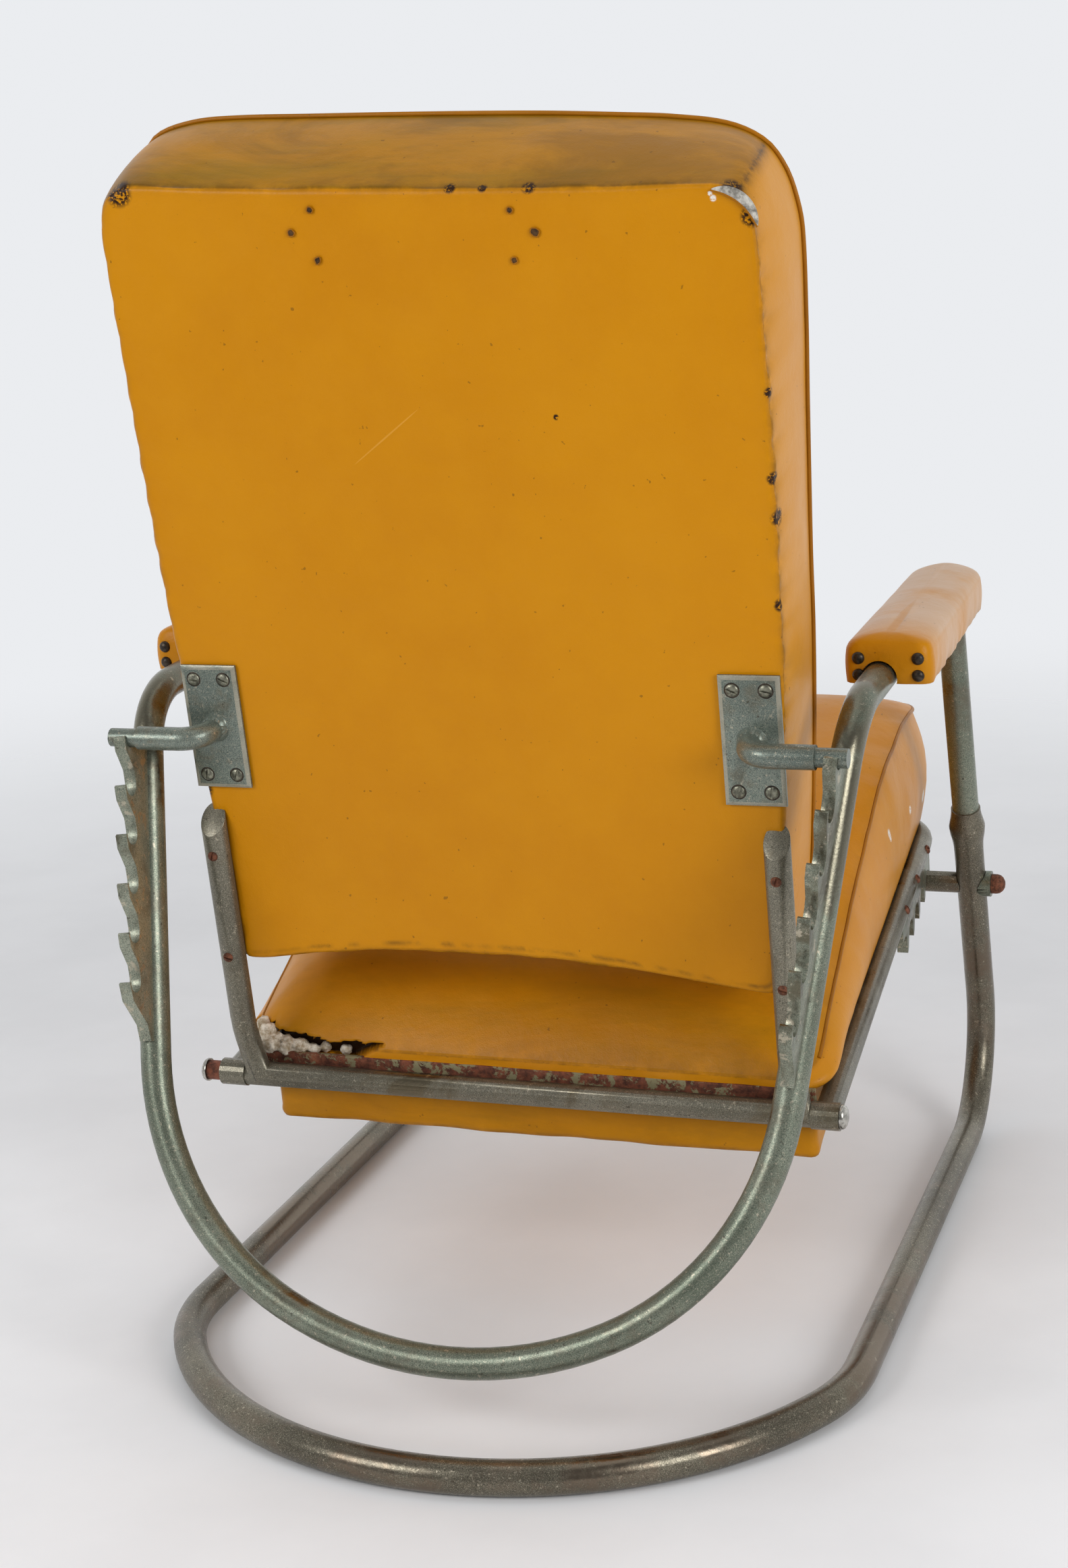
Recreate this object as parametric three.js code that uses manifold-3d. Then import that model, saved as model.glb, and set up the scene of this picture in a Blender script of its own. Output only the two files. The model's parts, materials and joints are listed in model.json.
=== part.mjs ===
// A lawn armchair of bent steel tube. A looped base rises into two front legs, and a hoop
// plugged into them carries the arms and drops behind the sitter in one long bow. Two hooked
// racks on the hoop hold the pins of the padded back, the seat hinges on the foot of the back,
// and its own racks notch onto a rod between the legs. Millimetres, +Z up, front toward -Y.
import * as THREE from "three";
import { mergeVertices } from "three/addons/utils/BufferGeometryUtils.js";
import Module from "manifold-3d";

const wasm = await Module();
wasm.setup();

// Fits and facets
const touchGap = 0.3; // between pieces that rest on or fill one another
const overrun = 4; // how far a cutting solid runs past what it cuts
const weld = 1e-4; // vertices this close are one
const bendStep = THREE.MathUtils.degToRad(10); // turn between two rings of a bent tube
const tubeSides = 16;
const turnedSides = 18;
const curveSteps = 4; // facets on one curve of a rack's outline
const cornerSteps = 4; // facets on one corner of an outline
const edgeSteps = 4; // facets along one edge of a cushion's outline
const crownRings = 5; // rings from a cushion's welt to its middle

// Base: one tube, a flat bow at the rear, runners, and a bend up into each leg
const legTube = 28;
const baseHalfSpan = 290; // to the runners' centrelines
const baseBowHalfAngle = THREE.MathUtils.degToRad(63.1);
const baseCornerRadius = 158.4;
const baseReach = 870; // rear of the bow to where leg and runner lines would cross
const footBendRadius = 91;

// Flared top of each leg, which takes the end of the hoop
const sleeveRimHeight = 346; // above the floor
const sleeveLength = 47;
const sleeveBellyDrop = 22; // rim to widest ring
const sleeveBelly = 34; // across
const sleeveRim = 27.6; // across
const socketDepth = 66;

// Hoop: legs, arms and the leaning bow behind the sitter
const hoopTube = 25;
const armFrontSplay = 3; // outward of the runners
const armRearSplay = 5.7;
const armFrontSetback = 657; // forward of the rear of the base
const armRearRise = 24; // arm's rear corner above the pins
const armFrontRise = 40;
const armBendRadius = 65;
const hoopHeight = 74.8; // lowest point of the bow
const hoopLean = THREE.MathUtils.degToRad(20.12);
const hoopBowHalfAngle = THREE.MathUtils.degToRad(26.4);
const hoopCornerRadius = 235;
const railTaper = THREE.MathUtils.degToRad(6.4); // each rail leans outward going up

// Hooked racks
const rackThickness = 10;
const rackTipRound = 1.5;
const backHooks = 6;
const backHookPitch = 39.3;
const backHookReach = 41.2; // gullet centres behind the rails' centrelines
const backFingerRise = 10; // fingertips beyond the gullets' centres
const backRackTail = 46.5; // lowest gullet to the plain end
const backRackTailReach = 17.6;
const backRackCap = 3; // plate left beyond the highest gullet
const seatHooks = 5;
const seatHookPitch = 35;
const seatFingerRise = 11.9;
const seatHookReach = 41.08; // gullet centres below the side tubes' centrelines
const seatRackTail = 18; // foremost gullet to the plain end
const seatRackTailReach = 14;
const seatRackCap = 6;

// Arm pads: a grooved board under a stuffed cover, set outward of the tube
const padRearSetback = 99; // along the arm from its rear corner
const padLength = 287;
const padHalfWidth = 33.5;
const padFrontHalfWidth = 30;
const padRearCorner = 7;
const padFrontCorner = 22;
const padOffset = 7; // pad's middle outward of the tube
const padUnderhang = 2; // cover's lower edge below the tube's centreline
const padSide = 27; // height of the cover's sides
const padCrown = 11;
const padBulge = 1.5;
const padBead = 0.8;
const padCrownPower = 3;
const padSkin = 4; // cover round the board
const padBoardThickness = 19;
const padMouth = 2; // opening round the tube in the cover's end

// Hinge between back and seat
const hingeSetback = 269.7;
const hingeHeight = 215.8;
const hingeRod = 17;
const crossInset = 42.2; // ends of the yoke's cross tube, inward of the runners
const knuckleLength = 23;
const knuckleDiameter = 23;
const rodDrift = 13.7; // the rod stands this far out of the left knuckle
const rodSpigot = 12;
const rodSpigotLength = 3.6;
const rodCapDiameter = 20;
const rodCapHeight = 6;

// Back: a board on a tube yoke, with a stuffed front
const backLean = THREE.MathUtils.degToRad(7.674);
const frameTube = 21; // the yoke and the seat's frame
const boardRear = 10.9; // board's rear face behind the hinge line
const boardThickness = 18;
const boardTop = 749.5; // above the hinge, along the back
const boardBottom = 114.5;
const boardArch = 8; // rise of the bottom edge at its middle
const boardShoulder = 430; // where the sides start to draw in
const boardShoulderRound = 18;
const boardInset = 34; // its sides, inward of the runners
const boardFootInset = 65;
const boardTopCorner = 30;
const boardFootCorner = 14;
const cushionDepth = 74; // board to welt
const cushionTopFlare = 32; // welt above the board's top
const cushionSideFlare = 5;
const cushionFootFlare = 4;
const cushionCorner = 36;
const cushionShoulder = 600;
const backCrown = 18;
const backCrownPower = 3;
const backBulge = 3;
const weltBead = 2;
const yokeSetback = 15.5; // arm tubes behind the hinge line
const yokeBracketGap = 33.8; // arms' cut ends below the brackets' plates
const yokeElbow = 52;
const yokeBendRadius = 70;
const yokeCutTilt = THREE.MathUtils.degToRad(47);

// Brackets whose pins hang in the racks
const pinSetback = 42.6; // pin behind the hinge line
const pinHeight = 324.8; // above the hinge, along the back
const pinJournal = 15;
const pinBar = 19;
const pinBoss = 25;
const pinBossHeight = 7;
const pinBendRadius = 20;
const pinOverhang = 6.4; // past the rack's outer face
const pinNeck = 8; // journal shown before the rack
const bracketInset = 33; // plate's middle from the board's side
const bracketWidth = 48;
const bracketHeight = 105;
const bracketThickness = 3.7;
const bracketBevel = 1.5;

// Seat: a U of tube round a covered box, with a stuffed cushion on top
const seatReach = 548; // hinge to the front cross member
const seatFrontInset = 47.7; // side tubes' front ends, inward of the runners
const seatBendRadius = 42;
const seatRearBarThickness = 4;
const seatRearBarTop = 15.5;
const seatRearBarBottom = -8;
const seatBoxRearInset = 23.2; // sides from the side tubes' centrelines, at the rear
const seatBoxRear = 13; // rear face forward of the hinge line
const seatBoxRearDepth = 61;
const seatBoxFrontDepth = 23;
const seatBoxRearCorner = 10;
const seatBoxSideGap = 1.2;
const seatBoxFrontGap = 2.5;
const seatCushionInset = 4; // foot inward of the side tubes' centrelines
const seatWeltInset = 12;
const seatCushionFootReach = 565;
const seatCushionReach = 590;
const seatCushionRearCorner = 28;
const seatCushionFrontCorner = 27;
const seatWeltRear = 22; // welt above the hinge line, at the rear
const seatWeltBrow = 128; // at its highest
const seatWeltBrowReach = 480;
const seatWeltFront = 108;
const seatRearCrown = 40;
const seatCrown = 20; // at the brow and beyond
const seatCrownPower = 6;
const seatBulge = 10;
const seatNoseBulge = 25;

// Rod between the legs
const rodDrop = 84; // below the sleeves' rims
const frontRod = 20.4;
const frontRodStud = 10;
const washerDiameter = 25;
const washerHeight = 5.5; // from the leg's crown to the nut
const nutDiameter = 19;
const nutHeight = 13;
const nutFlat = 5; // straight part of the nut under its dome
const studGrip = 8; // stud inside the nut

// Shares of the sizes above
const sleeveRingShares = { flare: 2 / 3, flareHeight: 1 / 2, neck: 1 / 2, neckDrop: 1 / 3 };
const gulletLandingShare = 0.45; // of a gullet's radius, straight before the next finger's back
const bossWaistShares = { radius: 1 / 2, height: 1 / 3 };
const capRimShare = 1 / 4; // straight part of a cap's height
const sideRingShares = [0, 0.2, 0.5, 0.8]; // a cushion's side rings, from foot to welt

// Finishes

const paint = (color, roughness, metalness) =>
  new THREE.MeshStandardMaterial({ color, roughness, metalness });
const hammeredGreen = paint(0x6d7a6b, 0.42, 0.55);
const wornSteel = paint(0x6b6557, 0.4, 0.7);
const rust = paint(0x7c4a3a, 0.75, 0.35);
const darkSteel = paint(0x57544a, 0.45, 0.7);
const ochreVinyl = paint(0xc37f0c, 0.48, 0);
const bareWood = paint(0x8b6a43, 0.8, 0);

// Solids

const { lerp } = THREE.MathUtils;
const millimetres = (x, y, z) => new THREE.Vector3(x, y, z);
const lateral = millimetres(1, 0, 0);

/** Turns a closed geometry into a solid that can be joined and cut. */
function solid(geometry) {
  const bare = geometry.index ? geometry.toNonIndexed() : geometry.clone();
  bare.deleteAttribute("normal");
  bare.deleteAttribute("uv");
  const merged = mergeVertices(bare, weld);
  return new wasm.Manifold(
    new wasm.Mesh({
      numProp: 3,
      vertProperties: merged.attributes.position.array,
      triVerts: new Uint32Array(merged.index.array),
    }),
  );
}

/** Turns a solid back into a faceted geometry. */
function faceted(body) {
  const { vertProperties, triVerts } = body.getMesh();
  const geometry = new THREE.BufferGeometry()
    .setAttribute("position", new THREE.BufferAttribute(vertProperties, 3))
    .setIndex(new THREE.BufferAttribute(triVerts, 1))
    .toNonIndexed();
  geometry.computeVertexNormals();
  return geometry;
}

const join = (first, ...others) =>
  faceted(others.reduce((whole, g) => whole.add(solid(g)), solid(first)));
const cut = (first, ...tools) =>
  faceted(tools.reduce((whole, g) => whole.subtract(solid(g)), solid(first)));

/** A named piece of the chair. */
function piece(name, geometry, material) {
  const mesh = new THREE.Mesh(geometry, material);
  mesh.name = name;
  return mesh;
}

/** Carries a geometry from its own axes to an origin and three axes of a piece. */
function placed(geometry, origin, xAxis, yAxis) {
  const zAxis = xAxis.clone().cross(yAxis);
  return geometry.applyMatrix4(
    new THREE.Matrix4().makeBasis(xAxis, yAxis, zAxis).setPosition(origin),
  );
}

/** Turns a profile of [radius, height] pairs about an axis that starts at an origin. */
function turned(profile, origin, axis, sides = turnedSides) {
  const points = profile.map(([r, h]) => new THREE.Vector2(r, h));
  const spin = new THREE.Quaternion().setFromUnitVectors(
    millimetres(0, 1, 0),
    axis.clone().normalize(),
  );
  return new THREE.LatheGeometry(points, sides)
    .applyQuaternion(spin)
    .translate(origin.x, origin.y, origin.z);
}

/** A round bar from one point to another. */
function bar(from, to, diameter, sides = turnedSides) {
  const run = to.clone().sub(from);
  const r = diameter / 2;
  const profile = [
    [0, 0],
    [r, 0],
    [r, run.length()],
    [0, run.length()],
  ];
  return turned(profile, from, run, sides);
}

/** Diameter of a faceted bore whose flats clear a round bar by a gap. */
const boreFor = (diameter, gap = touchGap, sides = turnedSides) =>
  (diameter + 2 * gap) / Math.cos(Math.PI / sides);

/** A centreline of straights and bends, which an extrusion follows ring by ring. */
class BentLine extends THREE.Curve {
  constructor(corners, radii) {
    super();
    this.stations = [];
    const heading = (i) => corners[i + 1].clone().sub(corners[i]).normalize();
    this.add(corners[0], heading(0));
    radii.forEach((radius, i) =>
      this.bend(corners[i + 1], heading(i), heading(i + 1), radius),
    );
    this.add(corners.at(-1), heading(corners.length - 2));
  }

  add(point, tangent) {
    const last = this.stations.at(-1);
    if (last && last.point.distanceTo(point) < touchGap) return;
    this.stations.push({ point: point.clone(), tangent: tangent.clone() });
  }

  bend(corner, arriving, leaving, radius) {
    const turn = arriving.angleTo(leaving);
    const start = corner
      .clone()
      .addScaledVector(arriving, -radius * Math.tan(turn / 2));
    const inward = leaving
      .clone()
      .addScaledVector(arriving, -Math.cos(turn))
      .normalize();
    const centre = start.clone().addScaledVector(inward, radius);
    const steps = Math.ceil(turn / bendStep);
    for (let k = 0; k <= steps; k++) {
      const [sin, cos] = [Math.sin, Math.cos].map((f) => f((turn * k) / steps));
      this.add(
        centre
          .clone()
          .addScaledVector(inward, -radius * cos)
          .addScaledVector(arriving, radius * sin),
        arriving.clone().multiplyScalar(cos).addScaledVector(inward, sin),
      );
    }
  }

  station(t) {
    return this.stations[Math.round(t * (this.stations.length - 1))];
  }

  getPointAt(t, target = new THREE.Vector3()) {
    return target.copy(this.station(t).point);
  }

  getTangentAt(t, target = new THREE.Vector3()) {
    return target.copy(this.station(t).tangent);
  }
}

/** A round tube along a bent centreline. */
function tube(line, diameter, sides = tubeSides) {
  const rim = Array.from({ length: sides }, (_, i) => {
    const a = (2 * Math.PI * i) / sides;
    return new THREE.Vector2(Math.cos(a), Math.sin(a)).multiplyScalar(
      diameter / 2,
    );
  });
  return new THREE.ExtrudeGeometry(new THREE.Shape(rim), {
    steps: line.stations.length - 1,
    extrudePath: line,
  });
}

/** Where the straight lines of a bow of two radii cross: below its middle, and at its corner. */
function bowCorners(radius, halfAngle, cornerRadius, cornerAngle) {
  const drop = radius * (1 / Math.cos(halfAngle) - 1);
  const slant =
    radius * Math.tan(halfAngle) + cornerRadius * Math.tan(cornerAngle / 2);
  return {
    drop,
    across: slant * Math.cos(halfAngle),
    along: slant * Math.sin(halfAngle) - drop,
  };
}

const mirrored = (p) => millimetres(-p.x, p.y, p.z);

/** Radii of a symmetric line from those of its left half. */
const bothSidesOf = (half, middle) => [...half.toReversed(), middle, ...half];

/** A whole symmetric line from the corners of its left half, middle first. */
const bothSides = (half, middle = []) => [
  ...half.toReversed().map(mirrored),
  ...middle,
  ...half,
];

// Places

const legTubeRadius = legTube / 2;
const hoopTubeRadius = hoopTube / 2;
const frameTubeRadius = frameTube / 2;

/** A group whose own Y and Z axes lie along the back or the seat, from the hinge. */
function hingedGroup(tilt) {
  const group = new THREE.Group();
  group.position.copy(hinge);
  group.rotation.x = -tilt;
  group.updateMatrixWorld(true);
  return group;
}

const hinge = millimetres(0, -hingeSetback, hingeHeight);
const back = hingedGroup(backLean);
const pinPlace = back.localToWorld(millimetres(0, pinSetback, pinHeight));

// The rear of the base's bow is the datum for every setback.
const footCorner = millimetres(baseHalfSpan, -baseReach, legTubeRadius);
const armFrontCorner = millimetres(
  baseHalfSpan + armFrontSplay,
  -armFrontSetback,
  pinPlace.z + armFrontRise,
);
const legLine = armFrontCorner.clone().sub(footCorner).normalize();

/** The point of the left leg's centreline at a height. */
const legAt = (height) =>
  footCorner.clone().addScaledVector(legLine, (height - footCorner.z) / legLine.z);

const railUp = millimetres(0, -Math.sin(hoopLean), Math.cos(hoopLean));
const railOut = millimetres(0, Math.cos(hoopLean), Math.sin(hoopLean));

/** The bottom of the hoop's bow, placed so that the racks on its rails take the pins. */
function bowBottom() {
  const rise = pinPlace.z - hoopHeight;
  const run = (rise * railOut.z - backHookReach) / railOut.y;
  return millimetres(0, pinPlace.y + run, hoopHeight);
}

const hoopBottom = bowBottom();
const armRearUp = (pinPlace.z + armRearRise - hoopHeight) / railUp.z;
const hoopCornerAngle = Math.PI / 2 - hoopBowHalfAngle - railTaper;

/** The bow's radius that brings the rails, on their taper, to the arms' rear corners. */
function bowRadiusForArms() {
  const [sin, cos] = [Math.sin(hoopBowHalfAngle), Math.cos(hoopBowHalfAngle)];
  const taper = Math.tan(railTaper);
  const slope = cos - sin * taper;
  const corner = hoopCornerRadius * Math.tan(hoopCornerAngle / 2);
  const left = baseHalfSpan + armRearSplay - armRearUp * taper - corner * slope;
  return left / ((sin / cos) * slope + (1 / cos - 1) * taper);
}

const hoopBowRadius = bowRadiusForArms();
const hoopBow = bowCorners(
  hoopBowRadius,
  hoopBowHalfAngle,
  hoopCornerRadius,
  hoopCornerAngle,
);

/** A point of the hoop's leaning plane: across, up the lean and out behind it. */
const onHoop = (across, up, out = 0) =>
  hoopBottom
    .clone()
    .addScaledVector(lateral, across)
    .addScaledVector(railUp, up)
    .addScaledVector(railOut, out);
/** How far across the left rail's centreline stands at a place up the lean. */
const railAcross = (up) =>
  hoopBow.across + (up - hoopBow.along) * Math.tan(railTaper);
const armRearCorner = onHoop(railAcross(armRearUp), armRearUp);
// The highest gullet, up the lean from the bow
const backHookTop = pinPlace.clone().sub(hoopBottom).dot(railUp);

const frontRodPlace = legAt(sleeveRimHeight - rodDrop);
const crossHalfLength = baseHalfSpan - crossInset;
const boardHalfWidth = baseHalfSpan - boardInset;
const boardFootHalfWidth = baseHalfSpan - boardFootInset;
const bracketHalfSpan = boardHalfWidth - bracketInset;
const seatFrontHalfSpan = baseHalfSpan - seatFrontInset;
const knuckleInner = crossHalfLength + touchGap;
const knuckleOuter = knuckleInner + knuckleLength;
const knuckleMiddle = (knuckleInner + knuckleOuter) / 2;

/** The seat's slope about the hinge that lays its racks' gullets on the rod. */
function slopeOnRod() {
  const run = hinge.y - frontRodPlace.y;
  const rise = frontRodPlace.z - hinge.z;
  return Math.atan2(rise, run) + Math.asin(seatHookReach / Math.hypot(run, rise));
}

const seat = hingedGroup(slopeOnRod());

// Frame

const hoopLine = new BentLine(
  bothSides(
    [
      onHoop(hoopBow.across, hoopBow.along),
      armRearCorner,
      armFrontCorner,
      legAt(sleeveRimHeight).addScaledVector(legLine, touchGap - socketDepth),
    ],
    [onHoop(0, -hoopBow.drop)],
  ),
  bothSidesOf([hoopCornerRadius, armBendRadius, armBendRadius], hoopBowRadius),
);

/** The base tube, with a flared socket on each leg and the rod's cross holes. */
function baseFrame() {
  const cornerAngle = Math.PI / 2 - baseBowHalfAngle;
  const slant = baseHalfSpan / Math.cos(baseBowHalfAngle);
  const bowRadius =
    (slant - baseCornerRadius * Math.tan(cornerAngle / 2)) /
    Math.tan(baseBowHalfAngle);
  const bow = bowCorners(
    bowRadius,
    baseBowHalfAngle,
    baseCornerRadius,
    cornerAngle,
  );
  const rim = legAt(sleeveRimHeight);
  const foot = rim.clone().addScaledVector(legLine, -sleeveLength);
  const half = [
    millimetres(bow.across, -bow.along, legTubeRadius),
    footCorner,
    foot,
  ];
  const line = new BentLine(
    bothSides(half, [millimetres(0, bow.drop, legTubeRadius)]),
    bothSidesOf([baseCornerRadius, footBendRadius], bowRadius),
  );
  const shares = sleeveRingShares;
  const [belly, mouth] = [sleeveBelly / 2, sleeveRim / 2];
  const bellyHeight = sleeveLength - sleeveBellyDrop;
  const flare = [
    [0, -overrun],
    [legTubeRadius, -overrun],
    [legTubeRadius, 0],
    [lerp(legTubeRadius, belly, shares.flare), bellyHeight * shares.flareHeight],
    [belly, bellyHeight],
    [lerp(belly, mouth, shares.neck), sleeveLength - sleeveBellyDrop * shares.neckDrop],
    [mouth, sleeveLength],
    [0, sleeveLength],
  ];
  const parts = [1, -1].map((side) => {
    const at = (p) => (side > 0 ? p.clone() : mirrored(p));
    const axis = at(legLine);
    const socket = bar(
      at(rim.clone().addScaledVector(legLine, -socketDepth)),
      at(rim.clone().addScaledVector(legLine, overrun)),
      boreFor(hoopTube),
    );
    const hole = bar(
      at(frontRodPlace).addScaledVector(lateral, -legTube),
      at(frontRodPlace).addScaledVector(lateral, legTube),
      boreFor(frontRodStud),
    );
    return { sleeve: turned(flare, at(foot), axis), cuts: [socket, hole] };
  });
  const whole = join(tube(line, legTube), ...parts.map((p) => p.sleeve));
  return cut(whole, ...parts.flatMap((p) => p.cuts));
}

/**
 * A hooked plate: along its tube (x) and out from it (y), its gullets opening toward +x.
 * The root lies on the tube's centreline, to be cut to the tube afterwards.
 */
function hookedPlate(row) {
  const gullets = Array.from({ length: row.count }, (_, k) => k * row.pitch);
  const outline = new THREE.Shape();
  const innerWall = row.reach - row.radius;
  let from = { x: -row.tail, y: row.tailReach };
  outline.moveTo(from.x, 0).lineTo(from.x, from.y);
  for (const centre of gullets) {
    const tip = centre - row.lag;
    const crest = tip - rackTipRound;
    const middle = (from.x + crest) / 2;
    outline
      .bezierCurveTo(middle, from.y, middle, row.tip, crest, row.tip)
      .lineTo(tip, row.tip - rackTipRound);
    const start = Math.acos(-row.lag / row.radius);
    if (row.tip - rackTipRound > row.reach + row.radius * Math.sin(start))
      outline.lineTo(tip, row.reach + row.radius * Math.sin(start));
    outline.absarc(
      centre,
      row.reach,
      row.radius,
      start,
      Math.PI + Math.PI / 2,
      false,
    );
    from = { x: centre + gulletLandingShare * row.radius, y: innerWall };
    outline.lineTo(from.x, from.y);
  }
  outline.lineTo(from.x + row.cap, innerWall).lineTo(from.x + row.cap, 0);
  return new THREE.ExtrudeGeometry(outline, {
    depth: rackThickness,
    bevelEnabled: false,
    curveSegments: curveSteps,
  }).translate(0, 0, -rackThickness / 2);
}

/** Extra room in a gullet for a bar that crosses the plate at a slant. */
const slantRoom = (slant) => (rackThickness / 2) * Math.tan(slant);

/** A rack on one rail of the hoop. */
function backRack(side, hoop) {
  const lowest = backHookTop - (backHooks - 1) * backHookPitch;
  const plate = hookedPlate({
    count: backHooks,
    pitch: backHookPitch / Math.cos(railTaper),
    radius: pinJournal / 2 + touchGap + slantRoom(railTaper),
    reach: backHookReach,
    tip: backHookReach + backFingerRise,
    lag: 0,
    tail: backRackTail,
    tailReach: backRackTailReach,
    cap: backRackCap,
  });
  const along = railUp
    .clone()
    .multiplyScalar(Math.cos(railTaper))
    .addScaledVector(lateral, side * Math.sin(railTaper));
  placed(plate, onHoop(side * railAcross(lowest), lowest), along, railOut);
  return cut(plate, hoop);
}

const padAlong = armFrontCorner.clone().sub(armRearCorner).normalize();

/** Carries an arm pad's plan (x outward, y forward, z up) to one arm. */
function onArm(geometry, side) {
  const along = side > 0 ? padAlong : mirrored(padAlong);
  const start = side > 0 ? armRearCorner : mirrored(armRearCorner);
  const up = lateral.clone().cross(along).normalize();
  if (up.z < 0) up.negate();
  const across = along.clone().cross(up);
  return placed(
    geometry,
    start.clone().addScaledVector(along, padRearSetback),
    across,
    along,
  );
}

/** Plan outline of an arm pad or its board, drawn in by an inset. */
const padOutline = (side, inset) => {
  // Seen along the arm from the rear, the left arm's outer side is to the left.
  const middle = -side * padOffset;
  const rear = padHalfWidth - inset;
  const front = padFrontHalfWidth - inset;
  return roundedOutline([
    [middle - rear, inset, padRearCorner],
    [middle + rear, inset, padRearCorner],
    [middle + front, padLength - inset, padFrontCorner],
    [middle - front, padLength - inset, padFrontCorner],
  ]);
};

/** The board in an arm pad, grooved for the arm. */
function armBoard(side, hoop) {
  const outline = new THREE.Shape(padOutline(side, padSkin));
  const board = new THREE.ExtrudeGeometry(outline, {
    depth: padBoardThickness,
    bevelEnabled: false,
  }).translate(0, 0, touchGap - padUnderhang);
  return cut(onArm(board, side), hoop);
}

/** The stuffed cover over the board, open below. */
function armPad(side) {
  const outline = padOutline(side, 0);
  const cover = cushion({
    foot: outline,
    welt: outline,
    footLevel: () => -padUnderhang,
    weltLevel: () => padSide - padUnderhang,
    bulge: () => padBulge,
    crown: () => padCrown,
    power: padCrownPower,
    bead: padBead,
  });
  const hollow = new THREE.ExtrudeGeometry(
    new THREE.Shape(padOutline(side, padSkin - touchGap)),
    { depth: padBoardThickness + 2 * touchGap + overrun, bevelEnabled: false },
  ).translate(0, 0, -padUnderhang - overrun);
  const reach = millimetres(0, padLength + overrun, 0);
  const mouth = bar(reach.clone().negate(), reach, boreFor(hoopTube, padMouth));
  return cut(onArm(cover, side), onArm(hollow, side), onArm(mouth, side));
}

/** The rod that the seat's racks notch onto, coped to the legs, with a stud through each. */
function frontRodBar() {
  const end = frontRodPlace.clone();
  const stud = legTubeRadius + washerHeight + studGrip;
  const studs = bar(
    mirrored(end).addScaledVector(lateral, -stud),
    end.clone().addScaledVector(lateral, stud),
    frontRodStud,
  );
  const legs = [1, -1].map((side) => {
    const middle = side > 0 ? end.clone() : mirrored(end);
    const axis = side > 0 ? legLine : mirrored(legLine);
    return bar(
      middle.clone().addScaledVector(axis, -frontRod),
      middle.clone().addScaledVector(axis, frontRod),
      boreFor(legTube),
    );
  });
  return join(cut(bar(mirrored(end), end, frontRod), ...legs), studs);
}

/** The saddle washer outside one leg. */
function rodWasher(side) {
  const middle = side > 0 ? frontRodPlace.clone() : mirrored(frontRodPlace);
  const out = lateral.clone().multiplyScalar(side);
  const outer = legTubeRadius + washerHeight;
  const disc = bar(
    middle,
    middle.clone().addScaledVector(out, outer),
    washerDiameter,
  );
  const hole = bar(
    middle.clone().addScaledVector(out, -overrun),
    middle.clone().addScaledVector(out, outer + overrun),
    boreFor(frontRodStud),
  );
  const axis = side > 0 ? legLine : mirrored(legLine);
  const leg = bar(
    middle.clone().addScaledVector(axis, -washerDiameter),
    middle.clone().addScaledVector(axis, washerDiameter),
    boreFor(legTube),
  );
  return cut(disc, hole, leg);
}

/** The domed nut on one end of the rod's stud. */
function rodNut(side) {
  const out = lateral.clone().multiplyScalar(side);
  const middle = side > 0 ? frontRodPlace.clone() : mirrored(frontRodPlace);
  const r = nutDiameter / 2;
  const bore = boreFor(frontRodStud) / 2;
  const bite = studGrip + touchGap;
  const profile = [
    [0, bite],
    [bore, bite],
    [bore, 0],
    [r, 0],
    [r, nutFlat],
    ...domeRings(r, nutFlat, nutHeight),
  ];
  const seatFace = legTubeRadius + washerHeight + touchGap;
  return turned(profile, middle.addScaledVector(out, seatFace), out).clone();
}

/** Profile points of a dome that closes on the axis. */
function domeRings(radius, from, to) {
  const rings = cornerSteps;
  return Array.from({ length: rings }, (_, i) => {
    const a = (Math.PI / 2) * ((i + 1) / rings);
    const last = i === rings - 1;
    return [last ? 0 : radius * Math.cos(a), from + (to - from) * Math.sin(a)];
  });
}

// Soft forms

/**
 * Points of a closed outline with rounded corners, given as [x, y, radius] anticlockwise.
 * Each edge is divided alike, so that two outlines of as many corners can be lofted.
 */
function roundedOutline(corners) {
  const points = [];
  const count = corners.length;
  const at = (i) => new THREE.Vector2(...corners[(i + count) % count]);
  for (let i = 0; i < count; i++) {
    const radius = corners[i][2];
    const arriving = at(i).sub(at(i - 1)).normalize();
    const leaving = at(i + 1).sub(at(i)).normalize();
    const turn = Math.atan2(arriving.cross(leaving), arriving.dot(leaving));
    const cutback = radius * Math.tan(turn / 2);
    const start = at(i).addScaledVector(arriving, -cutback);
    const inward = new THREE.Vector2(-arriving.y, arriving.x);
    for (let k = 0; k <= cornerSteps; k++) {
      const a = (turn * k) / cornerSteps;
      points.push(
        start
          .clone()
          .addScaledVector(arriving, radius * Math.sin(a))
          .addScaledVector(inward, radius * (1 - Math.cos(a))),
      );
    }
    const end = at(i).addScaledVector(leaving, cutback);
    const next = corners[(i + 1) % count][2];
    const ahead = at(i + 2).sub(at(i + 1)).normalize();
    const nextTurn = Math.atan2(leaving.cross(ahead), leaving.dot(ahead));
    const stop = at(i + 1).addScaledVector(
      leaving,
      -next * Math.tan(nextTurn / 2),
    );
    for (let k = 1; k < edgeSteps; k++)
      points.push(end.clone().lerp(stop, k / edgeSteps));
  }
  return points;
}

/** Outward directions of an outline at its points. */
function outwards(points) {
  const count = points.length;
  return points.map((_, i) => {
    const run = points[(i + 1) % count]
      .clone()
      .sub(points[(i + count - 1) % count]);
    return new THREE.Vector2(run.y, -run.x).normalize();
  });
}

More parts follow.
